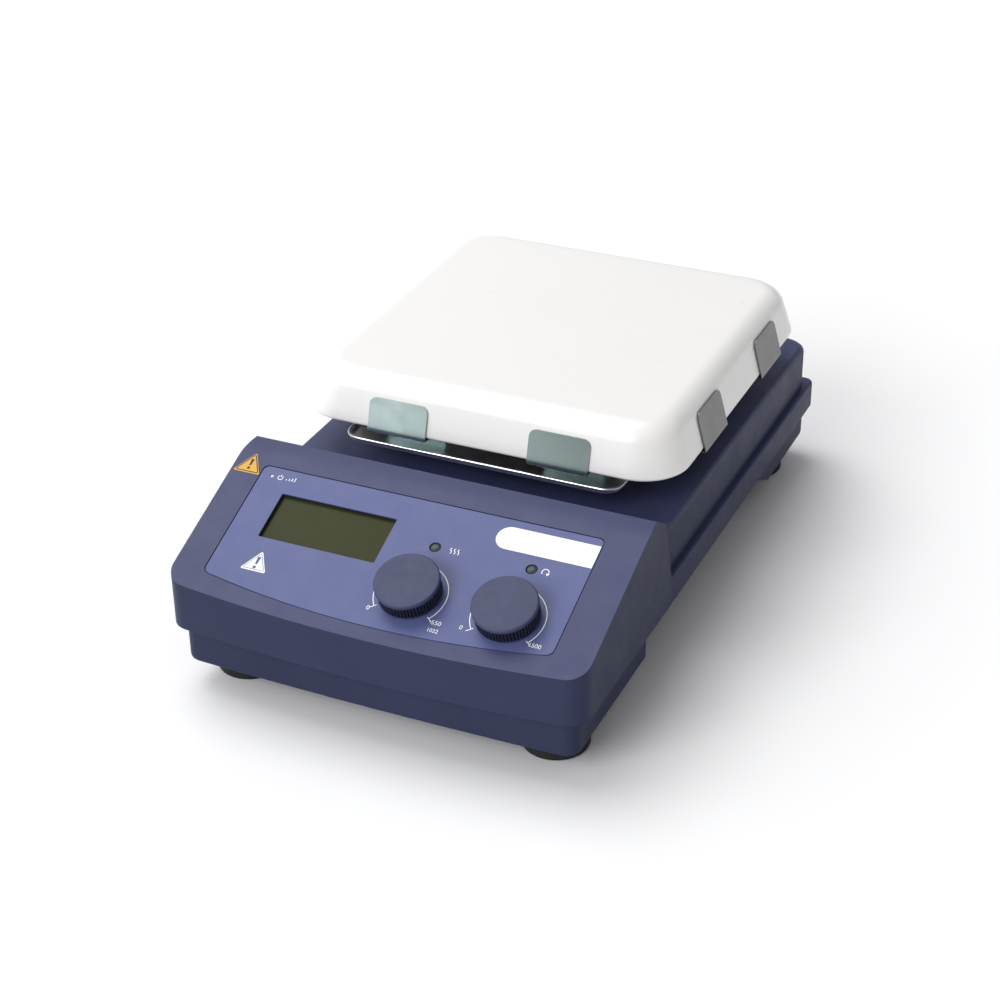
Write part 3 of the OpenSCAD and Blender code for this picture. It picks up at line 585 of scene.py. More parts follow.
HOUSING_BLUE = (0.042, 0.049, 0.105)
OVERLAY_BLUE = (0.093, 0.112, 0.262)
KNOB_BLUE = (0.05, 0.058, 0.12)
MATERIALS = {
    "housing_paint": enamel("housing_enamel", HOUSING_BLUE),
    "pan_paint": enamel("pan_enamel", scaled(HOUSING_BLUE, 0.95), 0.46),
    "rear_sheet": enamel("rear_sheet_enamel", scaled(HOUSING_BLUE, 0.8), 0.45),
    "overlay_film": film("overlay_film", OVERLAY_BLUE),
    "label_white": film("white_film", (0.9, 0.9, 0.89), 0.35),
    "label_yellow": film("yellow_film", (0.68, 0.375, 0.035), 0.35),
    "display_glass": display_glass("display_olive", (0.034, 0.038, 0.01)),
    "display_body": plastic("display_dark", (0.02, 0.022, 0.03), 0.3),
    "circuit_board": board("solder_mask", (0.02, 0.11, 0.045)),
    "lamp_lens": plastic("smoked_lens", (0.05, 0.07, 0.068), 0.18, 1.0, 0.01),
    "power_lens": plastic("clear_lens", (0.7, 0.74, 0.82), 0.2, 1.0, 0.01),
    "knob_plastic": plastic("knob_plastic", KNOB_BLUE, 0.44, 0.3, 0.02),
    # Painted shade: the knob skirt is a darker copy of the knob's blue plastic, standing in for the
    # shade under the cap and between the ribs.
    "knob_skirt": plastic("knob_skirt_painted_shade", (0.016, 0.016, 0.036), 0.45, 0.3, 0.02),
    "encoder_metal": steel("encoder_plating", (0.5, 0.5, 0.47), 0.35),
    "screw_steel": steel("zinc_plating", (0.62, 0.62, 0.6), 0.32),
    "shaft_steel": steel("ground_steel", (0.66, 0.66, 0.66), 0.2, (1, 1, 14)),
    "motor_steel": steel("motor_plating", (0.45, 0.46, 0.47), 0.34, (1, 1, 10)),
    "bracket_steel": steel("zinc_sheet", (0.58, 0.59, 0.6), 0.35, (8, 1, 1)),
    "sink_aluminium": steel("extruded_aluminium", (0.7, 0.71, 0.72), 0.38, (1, 8, 1)),
    "carrier_aluminium": steel("turned_aluminium", (0.62, 0.63, 0.64), 0.3, (1, 1, 10)),
    "magnet_nickel": steel("nickel_plating", (0.55, 0.54, 0.52), 0.22),
    "transformer_core": fibre("varnished_core", (0.22, 0.12, 0.05), 0.6),
    "capacitor_sleeve": plastic("capacitor_sleeve", (0.03, 0.045, 0.12), 0.25),
    "plate_ceramic": glazed("white_glaze", (0.875, 0.866, 0.852)),
    "element_mica": fibre("mica_sheet", (0.4, 0.35, 0.26), 2.5),
    "insulation_board": fibre("mineral_board", (0.78, 0.76, 0.7)),
    "shield_steel": steel("polished_sheet", (0.86, 0.87, 0.88), 0.27, (6, 1, 1), 0.6, 0.006),
    # Painted reflection: the front and rear clips' greenish tint and the side clips' darker grey
    # are two copies of one steel, coloured for how each side reflects its surroundings.
    "clip_steel": steel("spring_steel", (0.47, 0.58, 0.565), 0.13, (1, 1, 9), 0.5, 0.008,
                        painted_reflection_shade=0.6),
    "side_clip_steel": steel("spring_steel_painted_shade", (0.18, 0.18, 0.182), 0.34, (1, 1, 9), 0.5, 0.008),
    "foot_rubber": rubber("black_rubber", (0.012, 0.012, 0.013)),
    "black_plastic": plastic("black_plastic", (0.018, 0.018, 0.02), 0.42),
    "pin_brass": steel("brass_plating", (0.75, 0.62, 0.35), 0.25),
    "fuse_glass": clear_glass("fuse_glass", (0.85, 0.9, 0.86)),
    "dark_ink": film("dark_ink", (0.02, 0.02, 0.024), 0.4),
}


def paint(obj, *slots):
    """Gives an object the named materials, in order."""
    obj.data.materials.clear()
    for name in slots:
        obj.data.materials.append(MATERIALS[name])
    return obj


def mount_piece(obj, body, slot, replaced=(), materials=None):
    """Paints a finished piece, makes it ride on its body, and hides the CAD nodes it replaces."""
    paint(obj, *(materials or [slot]))
    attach(obj, body)
    if replaced:
        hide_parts(*replaced)


# ---------------------------------------------------------------- case


def control_box(name, inset):
    """The wedge-shaped control box: panel slope, rounded crown, back and shoulders."""
    low = BOX_Z - (5 if inset else 0)
    bm = bmesh.new()
    front = bowed_outline(HALF_W - inset, BOW_R - inset, BOX_CORNER - inset, FRONT_Y + inset)
    back_y = -40 - inset
    outline = [(-(HALF_W - inset), back_y)] + front + [(HALF_W - inset, back_y)]
    prism(bm, outline, low, RIDGE_Z + 20)
    slice_off(bm, PANEL @ Vector((0, 0, -inset)), PANEL_OUT)
    steps = 12
    centre = Vector((0, CROWN_Y, CROWN_Z))
    for i in range(1, steps + 1):
        a = PANEL_SLOPE * (1 - i / steps)
        out = Vector((0, -math.sin(a), math.cos(a)))
        slice_off(bm, centre + out * (CROWN_R - inset), out)
    back_out = Vector((0, math.sin(BACK_LEAN), math.cos(BACK_LEAN)))
    slice_off(bm, Vector((0, *BROW)) - back_out * inset, back_out)
    rear_out = Vector((0, math.sin(REAR_SLOPE), math.cos(REAR_SLOPE)))
    slice_off(bm, Vector((0, *BROW)) - rear_out * inset, rear_out)
    for side in (-1, 1):
        rise = math.sin(SHOULDER_TURN)
        out = Vector((side * math.cos(SHOULDER_TURN), rise * math.cos(SHOULDER_LEAN),
                      rise * math.sin(SHOULDER_LEAN)))
        slice_off(bm, Vector((side * HALF_W, *SHOULDER)) - out * inset, out)
    return new_object(name, bm)


def case_run(name, half, y_start, y_end, z_low, z_high, radius):
    """A straight run of the case from inside the control box to the back."""
    outline = [(-half, y_start), (half, y_start)]
    outline += arc(half - radius, y_end - radius, radius, 0, 90, 12)
    outline += arc(-half + radius, y_end - radius, radius, 90, 180, 12)
    return block(name, outline, z_low, z_high)


def box_edge_width(edge, angle):
    """Rounding of the control box: wide where its crown meets the sides."""
    middle = (edge.verts[0].co + edge.verts[1].co) / 2 / MM
    upright = min(abs(f.normal.x) for f in edge.link_faces) > 0.9
    if upright and angle > 4 and middle.y > -100:
        return 1.0
    if angle < 9:
        return 0.0
    if max(v.co.z for v in edge.verts) / MM < BOX_Z + 0.1:
        return 0.6
    if abs(middle.x) < 1:
        return 2.0 if middle.z > 60 else 0.8
    if middle.y > CROWN_Y + 1:
        return 4.6 if middle.z > BROW[1] else 3.0
    tangent_y = CROWN_Y - CROWN_R * math.sin(PANEL_SLOPE)
    rise = min(1.0, max(0.0, (middle.y - tangent_y) / (CROWN_Y - tangent_y)))
    return 1.9 + 2.7 * rise


def run_edge_width(top_z, side_width, rear_width, rear_y, reach):
    """Rounding of a case run's upper edge, growing towards the rear."""
    def width(edge, angle):
        if angle < 30:
            return 0.0
        middle_y = (edge.verts[0].co.y + edge.verts[1].co.y) / 2 / MM
        if max(v.co.z for v in edge.verts) / MM < CASE_Z + 0.1:
            return 0.6
        if min(v.co.z for v in edge.verts) / MM < top_z - 0.1 or middle_y < RUN_START + 1:
            return 0.0
        t = min(1.0, max(0.0, (middle_y - rear_y + reach) / reach))
        return side_width + (rear_width - side_width) * t
    return width


def lcd_centre():
    """The display opening's middle and width, across the panel."""
    low = PANEL.inverted() @ WINDOW_LOW
    high = PANEL.inverted() @ WINDOW_HIGH
    return (low.x + high.x) / 2, WINDOW_HIGH.x - WINDOW_LOW.x - 1


LCD_U, LCD_W = lcd_centre()
LCD_V = 43.65
LCD_H = 27.3


def display_holes(grow, corner):
    """Cutters through the panel for the display and the power lamp."""
    display = round_rect(LCD_W + grow, LCD_H + grow, corner)
    return [block("display_hole", display, -8, 3, at_panel(LCD_U, LCD_V)),
            cylinder("power_hole", 1.1, -8, 3, at_panel(*POWER_LAMP), 24)]


def knob_holes(shaft_r):
    """Cutters through the panel for both knobs' shafts and the lamps above them."""
    holes = []
    for u in (HEAT_U, STIR_U):
        holes.append(cylinder("shaft_hole", shaft_r, -8, 3, at_panel(u, KNOB_V), 40))
        holes.append(cylinder("lamp_hole", LAMP_R + 0.1, -8, 3, at_panel(u, LAMP_V), 40))
    return holes


def build_housing():
    """Hollow casting: control box, deck and lower band in one, with its openings."""
    shell = soften(control_box("housing_shell", 0), box_edge_width, 4)
    deck = case_run("deck", DECK_HALF, RUN_START + 3, DECK_BACK, CASE_Z, DECK_Z, 14)
    deck = soften(deck, run_edge_width(DECK_Z, 2.2, 8.5, DECK_BACK, 14), 5)
    combine(shell, deck, "UNION")
    band = case_run("band", BAND_HALF, RUN_START, PAD_Y, CASE_Z, LEDGE_Z, 5)
    band = soften(band, run_edge_width(LEDGE_Z, 1.4, 1.4, PAD_Y, 5), 3)
    combine(shell, band, "UNION")
    pad_height = PAD_SPAN[1] - PAD_SPAN[0]
    pad = block("pad", round_rect(2 * PAD_HALF, pad_height, 4), -6, 0,
                at_rear(sum(PAD_SPAN) / 2))
    combine(shell, soften(pad, even(0.8, 30)), "UNION")

    hollow_box = control_box("hollow_box", WALL)
    sill = [(-HALF_W - 2, FRONT_Y - 9), (HALF_W + 2, FRONT_Y - 9),
            (HALF_W + 2, RUN_START), (-HALF_W - 2, RUN_START)]
    cut(hollow_box, block("sill", sill, BOX_Z - 9, PAN_HIGH.z - 0.2))
    cut(shell, hollow_box)
    cut(shell, block("pan_seat", pan_outline(-0.25), CASE_Z - 9, PAN_HIGH.z))
    cut(shell, case_run("hollow_deck", DECK_HALF - WALL, RUN_START - WALL, DECK_BACK - WALL,
                        CASE_Z - 5, DECK_Z - WALL, 14 - WALL))
    cut(shell, case_run("hollow_band", BAND_HALF - WALL, RUN_START - WALL, PAD_Y - WALL,
                        CASE_Z - 5, LEDGE_Z - WALL, 2))

    cutters = [
        block("pocket", overlay_outline(0.45), -OVERLAY_DEPTH, 5, PANEL),
        *display_holes(1.2, 1.4),
        cylinder("well", WELL_R, DECK_Z - WALL - 1, DECK_Z + 1,
                 Matrix.Translation((0, PLATE_Y, 0)), 96),
        cylinder("rod_hole", 7.0, DECK_Z - WALL - 1, DECK_Z + 1, rod_place()),
        block("rear_pocket", round_rect(2 * PAD_HALF - 8, 36, 3), -1.5, 2,
              at_rear(PANEL_MID_Z)),
        block("rear_hole", round_rect(2 * PAD_HALF - 22, 32, 3), -12, 2,
              at_rear(PANEL_MID_Z)),
        *knob_holes(4.6),
    ]
    cut(shell, *cutters)
    finish_surface(shell)
    mount_piece(shell, "case", "housing_paint", ["front_housing", "rear_housing"])


def rod_place():
    """Place of the rod socket's hole in plan."""
    low, high = box_mm("rod_socket")
    return Matrix.Translation(((low.x + high.x) / 2, (low.y + high.y) / 2, 0))


def pan_outline(inset):
    """Plan of the base pan: bowed front and round corners."""
    half = PAN_HIGH.x - inset
    corner = PAN_CORNER - inset * 0.5
    front = bowed_outline(half, PAN_BOW_R - inset, corner, PAN_LOW.y + inset, 10, 30)
    y_end = PAN_HIGH.y - inset
    return (front
            + arc(half - corner, y_end - corner, corner, 0, 90, 8)
            + arc(-half + corner, y_end - corner, corner, 90, 180, 8))


def grip_cutter(side, grow):
    """Hand recess on one side of the pan, with a sloping rear end."""
    inner = PAN_HIGH.x - PAN_GRIP_DEPTH - grow
    outer = HALF_W + 5
    low = PAN_LOW.z - 5
    high = CASE_Z - 0.2 + grow
    front = GRIP_FRONT - grow
    profile = [(front, low), (front, high), (GRIP_BACK_TOP + grow, high),
               (GRIP_BACK_FOOT + grow, low)]
    return lofted("grip", [[(side * x, y, z) for y, z in profile] for x in (inner, outer)])


def build_pan():
    """Drafted tray with rounded lower edges, hand recesses and air slots."""
    floor = PAN_LOW.z
    levels = [(floor, 1.3), (floor + 0.25, 0.65), (floor + 0.7, 0.25), (floor + 1.4, 0.05),
              (floor + 2.4, 0.0), (PAN_HIGH.z, 0.0)]
    pan = lofted("base_tray", [at_height(pan_outline(inset), z) for z, inset in levels])
    inner_levels = [(floor + 2.5, 4.0), (floor + 5, 2.5), (PAN_HIGH.z + 9, 2.5)]
    hollow = lofted("hollow", [at_height(pan_outline(inset), z) for z, inset in inner_levels])
    for side in (-1, 1):
        cut(hollow, grip_cutter(side, 2.5))
    cut(pan, hollow)
    for side in (-1, 1):
        cut(pan, grip_cutter(side, 0))
    rear = [(x, y) for x in (-PAD_HALF - 2, PAD_HALF + 2) for y in (PAD_Y - 12, PAD_Y + 12)]
    rear = [rear[0], rear[2], rear[3], rear[1]]
    cut(pan, block("rear_gap", rear, CASE_Z + 2, CASE_Z + 30))
    for middle_y in (-95, 120):
        for i in range(-4, 5):
            slot = round_rect(3, 40, 1.4, 4)
            place = Matrix.Translation((i * 9, middle_y, 0))
            cut(pan, block("slot", slot, floor - 1, floor + 4, place))
    finish_surface(pan, 28)
    mount_piece(pan, "case", "pan_paint", ["base_pan"])


def build_feet():
    """Four moulded rubber feet with a rounded tread and a screw recess."""
    foot_r = FOOT_R
    foot_x, foot_y = FOOT_HIGH.x - foot_r, FOOT_HIGH.y - foot_r
    top = FOOT_HIGH.z
    profile = [(2.3, top), (foot_r - 0.6, top), (foot_r, top - 0.7), (foot_r, 2.2)]
    profile += [(foot_r - 1.6 + 1.6 * math.cos(a), 1.6 - 1.6 * math.sin(a))
                for a in radians(15, 40, 65, 90)]
    profile += [(foot_r - 4.0, 0.0), (foot_r - 4.6, 0.5), (6.2, 0.5), (5.6, 0.0), (5.2, 0.0),
                (5.0, 0.3), (5.0, FOOT_DROP + 3.5), (2.3, FOOT_DROP + 3.5)]
    bm = bmesh.new()
    for x in (-foot_x, foot_x):
        for y in (-foot_y, foot_y):
            rings = [at_height([(x + px, y + py) for px, py in circle(radius, 64)], height)
                     for radius, height in profile]
            loft(bm, rings, closed=True)
    feet = finish_surface(new_object("feet_moulded", bm), 40)
    mount_piece(feet, "case", "foot_rubber", ["rubber_feet"])


# ---------------------------------------------------------------- control panel


def overlay_outline(grow):
    """Outline of the overlay in panel coordinates: straight top, bowed lower edge."""
    left = OVERLAY_LOW.x - grow
    right = OVERLAY_HIGH.x + grow
    top = -15.7 + grow
    side_low, low = 83.6, 91.9
    middle, half = (left + right) / 2, (right - left) / 2
    sag = low - side_low
    big = (half ** 2 + sag ** 2) / (2 * sag)
    cy = -low - grow + big
    radius = 4.0
    corner_y = cy - math.sqrt((big - radius) ** 2 - (half - radius) ** 2)
    turn = math.degrees(math.atan2(corner_y - cy, half - radius))
    return (arc(left + 3, top - 3, 3, 90, 180, 6)
            + arc(left + radius, corner_y, radius, 180, 180 - turn, 6)
            + arc(middle, cy, big, 180 - turn, 360 + turn, 30)[1:-1]
            + arc(right - radius, corner_y, radius, turn, 0, 6)
            + arc(right - 3, top - 3, 3, 0, 90, 6))


def build_overlay():
    """Paler film in the panel's pocket, pierced for display, lamps and shafts."""
    film_piece = block("overlay_sheet", overlay_outline(0), -0.65, OVERLAY_TOP_N, PANEL)
    soften(film_piece, even(0.12), 2)
    cut(film_piece, *display_holes(0, 0.8), *knob_holes(4.7))
    finish_surface(film_piece)
    mount_piece(film_piece, "case", "overlay_film", ["panel_overlay"])


def build_display():
    """Olive window at the bottom of a dark bezel that lines the opening."""
    glass_low, glass_high = -3.8, -2.2
    glass = block("display_pane", round_rect(LCD_W + 1, LCD_H + 1, 1.2), glass_low, glass_high,
                  at_panel(LCD_U, LCD_V))
    soften(glass, even(0.2), 2)
    finish_surface(glass)
    mount_piece(glass, "case", "display_glass", ["lcd_window"])
    outer = round_rect(LCD_W + 1.1, LCD_H + 1.1, 1.35)
    inner = round_rect(LCD_W - 0.5, LCD_H - 0.5, 0.6)
    rings = [(outer, glass_high + 0.02), (outer, -OVERLAY_DEPTH - 0.03),
             (inner, -OVERLAY_DEPTH - 0.03), (inner, glass_high + 0.02)]
    bezel = finish_surface(lofted("display_bezel", [at_height(ring, z) for ring, z in rings],
                                  at_panel(LCD_U, LCD_V), closed=True))
    mount_piece(bezel, "case", "display_body")


def build_lamp(name, node, u, v, radius, slot):
    """Lamp lens with a low dome in a thin dark collar."""
    bm = bmesh.new()
    lens_r = radius - 0.45 if radius > 2 else radius
    profile = [(lens_r * 0.6, -3.0), (lens_r, -2.8), (lens_r, -0.55)]
    profile += [(lens_r * math.cos(a), -0.55 + 0.6 * math.sin(a))
                for a in radians(20, 45, 70, 86)]
    lathe(bm, profile, 40)
    lens = finish_surface(new_object(name, bm, at_panel(u, v)))
    mount_piece(lens, "case", slot, [node])
    if radius > 2:
        collar = [(lens_r + 0.03, -0.5), (lens_r + 0.03, -0.18), (radius - 0.12, -0.02),
                  (radius, -0.12), (radius, -2.0), (lens_r + 0.03, -2.0)]
        rings = [at_height(circle(ring_r, 40), height) for ring_r, height in collar]
        ring = finish_surface(lofted(name + "_collar", rings, at_panel(u, v), closed=True))
        mount_piece(ring, "case", "black_plastic")


def ribbon(bm, points, width, low, high, closed=False):
    """A flat printed stroke along points in the panel's plane."""
    count = len(points)
    sides = []
    for i, (x, y) in enumerate(points):
        before = points[i - 1] if (i > 0 or closed) else points[i]
        after = points[(i + 1) % count] if (i < count - 1 or closed) else points[i]
        direction = Vector((after[0] - before[0], after[1] - before[1])).normalized()
        normal = Vector((-direction.y, direction.x)) * width / 2
        sides.append([(x + normal.x, y + normal.y), (x - normal.x, y - normal.y)])
    rings = []
    for (lx, ly), (rx, ry) in sides:
        rings.append([(lx, ly, low), (rx, ry, low), (rx, ry, high), (lx, ly, high)])
    loft(bm, rings, closed=closed)


def text_outline_mesh(body, size, place):
    """Mesh of a line of digits, centred on place, in panel coordinates."""
    curve = bpy.data.curves.new("digits", "FONT")
    curve.body = body
    curve.size = size
    curve.align_x = "CENTER"
    curve.align_y = "CENTER"
    curve.extrude = 0.02
    obj = bpy.data.objects.new("digits", curve)
    bpy.context.scene.collection.objects.link(obj)
    graph = bpy.context.evaluated_depsgraph_get()
    graph.update()
    mesh = bpy.data.meshes.new_from_object(obj.evaluated_get(graph))
    mesh.transform(Matrix.Translation((place[0], -place[1], OVERLAY_TOP_N + 0.03)))
    bpy.data.objects.remove(obj)
    return mesh


MARK_LOW = OVERLAY_TOP_N + 0.005
MARK_HIGH = OVERLAY_TOP_N + 0.05
OVERPRINT = (MARK_HIGH + 0.005, MARK_HIGH + 0.04)
STICKER_PRINT = (0.205, 0.22)
STROKE = 0.42
THIN_STROKE = 0.36
CAUTION_U = -68.0
STICKER_U = -99.4


def dial_scale(bm, u):
    """Scale arc round a knob with an end tick at each side."""
    radius, reach = 17.8, 128.0
    ends = (90 - reach, 90 + reach)
    ribbon(bm, arc(u, -KNOB_V, radius, *ends, 72), STROKE, MARK_LOW, MARK_HIGH)
    for angle in ends:
        a = math.radians(angle)
        tick = [(u + r * math.cos(a), -KNOB_V + r * math.sin(a)) for r in (16.6, 20.4)]
        ribbon(bm, tick, STROKE, MARK_LOW, MARK_HIGH)


def heat_sign(bm, u, v):
    """Three rising waves."""
    for shift in (-1.9, 0.0, 1.9):
        points = []
        for i in range(13):
            t = i / 12
            points.append((u + shift + 0.45 * math.sin(t * 2 * math.pi), -v - 1.6 + 3.2 * t))
        ribbon(bm, points, STROKE, MARK_LOW, MARK_HIGH)


def stir_sign(bm, u, v):
    """A turning arrow."""
    turn = arc(u, -v, 1.7, -30, 230, 24)
    ribbon(bm, turn, STROKE, MARK_LOW, MARK_HIGH)
    tip = turn[0]
    head = [(tip[0] - 0.95, tip[1] + 0.25), (tip[0] - 0.1, tip[1] - 1.15),
            (tip[0] + 0.95, tip[1] + 0.3)]
    prism(bm, head, MARK_LOW, MARK_HIGH)


def power_sign(bm, u, v):
    """A broken ring with a bar."""
    ribbon(bm, arc(u, -v, 1.3, 125, 415, 24), THIN_STROKE, MARK_LOW, MARK_HIGH)
    ribbon(bm, [(u, -v + 0.3), (u, -v + 1.9)], THIN_STROKE, MARK_LOW, MARK_HIGH)


def bang(bm, u, v, height, low, high):
    """An exclamation mark: a tapering bar over a dot."""
    w = height * 0.13
    prism(bm, [(u - w * 0.55, -v - height * 0.12), (u + w * 0.55, -v - height * 0.12),
               (u + w, -v + height * 0.5), (u - w, -v + height * 0.5)], low, high)
    prism(bm, circle(w * 0.95, 16, u, -v - height * 0.36), low, high)


def triangle(u, v, width, height, radius=0.7):
    """Outline of an upright triangle with round corners; v is the middle of its height."""
    corners = [(u - width / 2, -v - height / 2), (u + width / 2, -v - height / 2),
               (u, -v + height / 2)]
    centre = Vector((u, -v - height / 6))
    points = []
    for corner in corners:
        away = (Vector(corner) - centre).normalized()
        middle = Vector(corner) - away * radius * 2
        a = math.degrees(math.atan2(away.y, away.x))
        points += arc(middle.x, middle.y, radius, a - 60, a + 60, 6)
    return points


def build_marks():
    """White print on the overlay: scales, numbers and signs."""
    bm = bmesh.new()
    dial_scale(bm, HEAT_U)
    dial_scale(bm, STIR_U)
    heat_sign(bm, HEAT_U + 10.2, LAMP_V)
    stir_sign(bm, STIR_U + 7.0, LAMP_V)
    power_sign(bm, POWER_LAMP[0] + 4.6, POWER_LAMP[1])
    for i in range(4):
        x = POWER_LAMP[0] + 8.2 + i * 1.5
        ribbon(bm, [(x, -POWER_LAMP[1] - 0.9), (x, -POWER_LAMP[1] - 0.9 + 0.6 * (i + 1))],
               0.5, MARK_LOW, MARK_HIGH)
    prism(bm, triangle(CAUTION_U, 71.2, 14.0, 12.0), MARK_LOW, MARK_HIGH)
    digits = [("0", 3.4, (-4.0, 82.0)), ("550", 3.4, (30.8, 81.6)), ("1022", 2.9, (30.8, 86.0)),
              ("0", 3.2, (42.9, 80.6)), ("1500", 3.2, (79.6, 81.0))]
    for body, size, place in digits:
        mesh = text_outline_mesh(body, size, place)
        bm.from_mesh(mesh)
        bpy.data.meshes.remove(mesh)
    marks = new_object("panel_print", bm, PANEL)
    mount_piece(marks, "case", "label_white")
    bm = bmesh.new()
    bang(bm, CAUTION_U, 72.4, 7.2, *OVERPRINT)
    inner = triangle(CAUTION_U, 71.4, 11.4, 9.7, 0.5)
    ribbon(bm, inner, 0.3, *OVERPRINT, closed=True)
    dark = new_object("caution_print", bm, PANEL)
    mount_piece(dark, "case", "overlay_film")


def build_label():
    """Blank white label with one round end."""
    right = LABEL_HIGH.x
    left = LABEL_LOW.x
    half, middle = 6.6, -26.6
    outline = arc(left + half, middle, half, 90, 270, 20) + [
        (right, middle - half), (right, middle + half)]
    label = block("blank_label", outline, OVERLAY_TOP_N + 0.01, 0.14, PANEL)
    soften(label, even(0.06), 2)
    finish_surface(label)
    mount_piece(label, "case", "label_white", ["label_plate"])
    bm = bmesh.new()
    prism(bm, triangle(STICKER_U, 16.1, 15.0, 12.9, 0.6), 0.02, 0.2)
    sticker = finish_surface(lay_on_crown("caution_label", bm))
    mount_piece(sticker, "case", "label_yellow", ["caution_sticker"])
    bm = bmesh.new()
    ribbon(bm, triangle(STICKER_U, 16.25, 12.6, 10.8, 0.5), 0.55, *STICKER_PRINT, closed=True)
    bang(bm, STICKER_U, 17.2, 6.6, *STICKER_PRINT)
    sign = lay_on_crown("caution_label_print", bm)
    mount_piece(sign, "case", "label_yellow", materials=["dark_ink"])


def lay_on_crown(name, bm):
    """Bends a flat label in panel coordinates down over the start of the crown."""
    for step in range(9):
        geometry = bm.verts[:] + bm.edges[:] + bm.faces[:]
        bmesh.ops.bisect_plane(bm, geom=geometry, plane_co=(0, -CROWN_START + step * 0.75, 0),
                               plane_no=(0, 1, 0), dist=1e-5)
    for vert in bm.verts:
        past = max(0.0, CROWN_START + vert.co.y)
        vert.co.z -= CROWN_R - math.sqrt(CROWN_R ** 2 - past ** 2)
    return new_object(name, bm, PANEL)


def knob_skirt_ring(height, base_r, depth, ribs, steps_per_rib):
    """Ring of a ribbed skirt: rounded ribs with narrow grooves between them."""
    ring = []
    total = ribs * steps_per_rib
    for i in range(total):
        phase = (i % steps_per_rib) / steps_per_rib
        rise = math.sqrt(max(0.0, math.sin(math.pi * phase)))
        a = 2 * math.pi * i / total
        radius = base_r + depth * rise
        ring.append((radius * math.cos(a), radius * math.sin(a), height))
    return ring


def build_knob(name, node, body, u):
    """Plain cap with a rounded rim over a finely ribbed skirt."""
    place = at_panel(u, KNOB_V)
    ribs, per_rib = 60, 6
    cap_low = KNOB_H - 2.4
    base_r = KNOB_R - 1.35
    levels = [(0.9, 0.5, 0.6), (1.2, 0.1, 0.85), (2.0, 0.0, 0.95),
              (cap_low - 0.3, 0.0, 0.95), (cap_low + 0.4, 0.0, 0.95)]
    rings = [knob_skirt_ring(z, base_r - step, depth, ribs, per_rib) for z, step, depth in levels]
    skirt = finish_surface(lofted(name + "_skirt", rings, place), 60)
    # The skirt takes the darker knob_skirt material, a painted shade of the knob plastic.
    mount_piece(skirt, body, "knob_plastic", [node], ["knob_skirt"])
    edge = 0.9
    profile = [(KNOB_R - 3, cap_low), (KNOB_R - 0.35, cap_low), (KNOB_R, cap_low + 0.3)]
    profile += [(KNOB_R - edge + edge * math.cos(a), KNOB_H - edge - 0.12 + edge * math.sin(a))
                for a in radians(0, 18, 36, 54, 72, 90)]
    profile += [(KNOB_R - 3.2, KNOB_H - 0.06), (KNOB_R - 7, KNOB_H - 0.02), (3.0, KNOB_H)]
    bm = bmesh.new()
    lathe(bm, profile, 96)
    cap = finish_surface(new_object(name + "_cap", bm, place), 40)
    mount_piece(cap, body, "knob_plastic")


# ---------------------------------------------------------------- heated plate


def plate_ring(half, z, radius, steps=14):
    """A rounded square ring about the plate's centre."""
    return [(x, y + PLATE_Y, z) for x, y in round_rect(2 * half, 2 * half, radius, steps)]


def build_plate():
    """Glazed plate: flat top, soft edge, flared side and a curled rim, hollow below."""
    edge_r = PLATE_EDGE_R
    flat = RIM_HALF - PLATE_INSET
    lean = math.radians(PLATE_LEAN)
    hollow_and_rim = [
        (12, TOP_Z - 8, 17), (9.2, TOP_Z - 8.6, 18), (4.6, RIM_Z + 0.9, 20.5),
        (3.9, RIM_Z + 0.25, 21), (2.6, RIM_Z, 22.3), (1.3, RIM_Z + 0.15, 23.5),
        (0.4, RIM_Z + 0.85, 24.2), (0, RIM_Z + 2.0, RIM_CORNER)]
    rings = [plate_ring(RIM_HALF - inward, z, radius) for inward, z, radius in hollow_and_rim]
    top_of_side = (flat + edge_r * math.cos(lean), TOP_Z - edge_r + edge_r * math.sin(lean))
    for t in (0.33, 0.66):
        half = RIM_HALF + (top_of_side[0] - RIM_HALF) * t
        z = RIM_Z + 2.0 + (top_of_side[1] - RIM_Z - 2.0) * t
        rings.append(plate_ring(half, z, RIM_CORNER - 1.8 * t))
    steps = 9
    for i in range(steps + 1):
        a = lean + (math.pi / 2 - lean) * i / steps
        half = flat + edge_r * math.cos(a)
        z = TOP_Z - edge_r + edge_r * math.sin(a)
        rings.append(plate_ring(half, z, 14.0 + 9.0 * math.cos(a)))
    rings.append(plate_ring(flat - 3, TOP_Z, 12))
    plate = finish_surface(lofted("plate_glazed", rings), 50)
    mount_piece(plate, "case", "plate_ceramic", ["heating_plate"])


def clip_path(top):
    """Middle line of a clip: distance from the plate's centre and height, foot first."""
    out = RIM_HALF + CLIP_GAP + CLIP_T / 2
    under = RIM_Z - 0.3 - CLIP_T / 2
    floor = SHIELD_LOW.z + 0.8 + CLIP_T / 2
    inside = RIM_HALF - 22 + CLIP_T / 2
    lean = 4.8 / (TOP_Z - 6.8 - RIM_Z - 2)
    bend = CLIP_BEND
    path = [(inside - 10, floor), (inside - bend, floor)]
    path += [(inside - bend + bend * math.sin(a), floor + bend - bend * math.cos(a))
             for a in radians(30, 60, 90)]
    path += [(inside + bend - bend * math.cos(a), under - bend + bend * math.sin(a))
             for a in radians(0, 30, 60, 90)]
    fold = CLIP_FOLD
    start = under + fold
    low_out = out + (RIM_Z + 2 - start) * lean
    path += [(low_out - fold + fold * math.sin(a), under + fold - fold * math.cos(a))
             for a in radians(0, 22, 45, 67, 90)]
    for i in range(1, 13):
        z = start + (top - start) * i / 12
        path.append((out - (z - RIM_Z - 2) * lean, z))
    return path


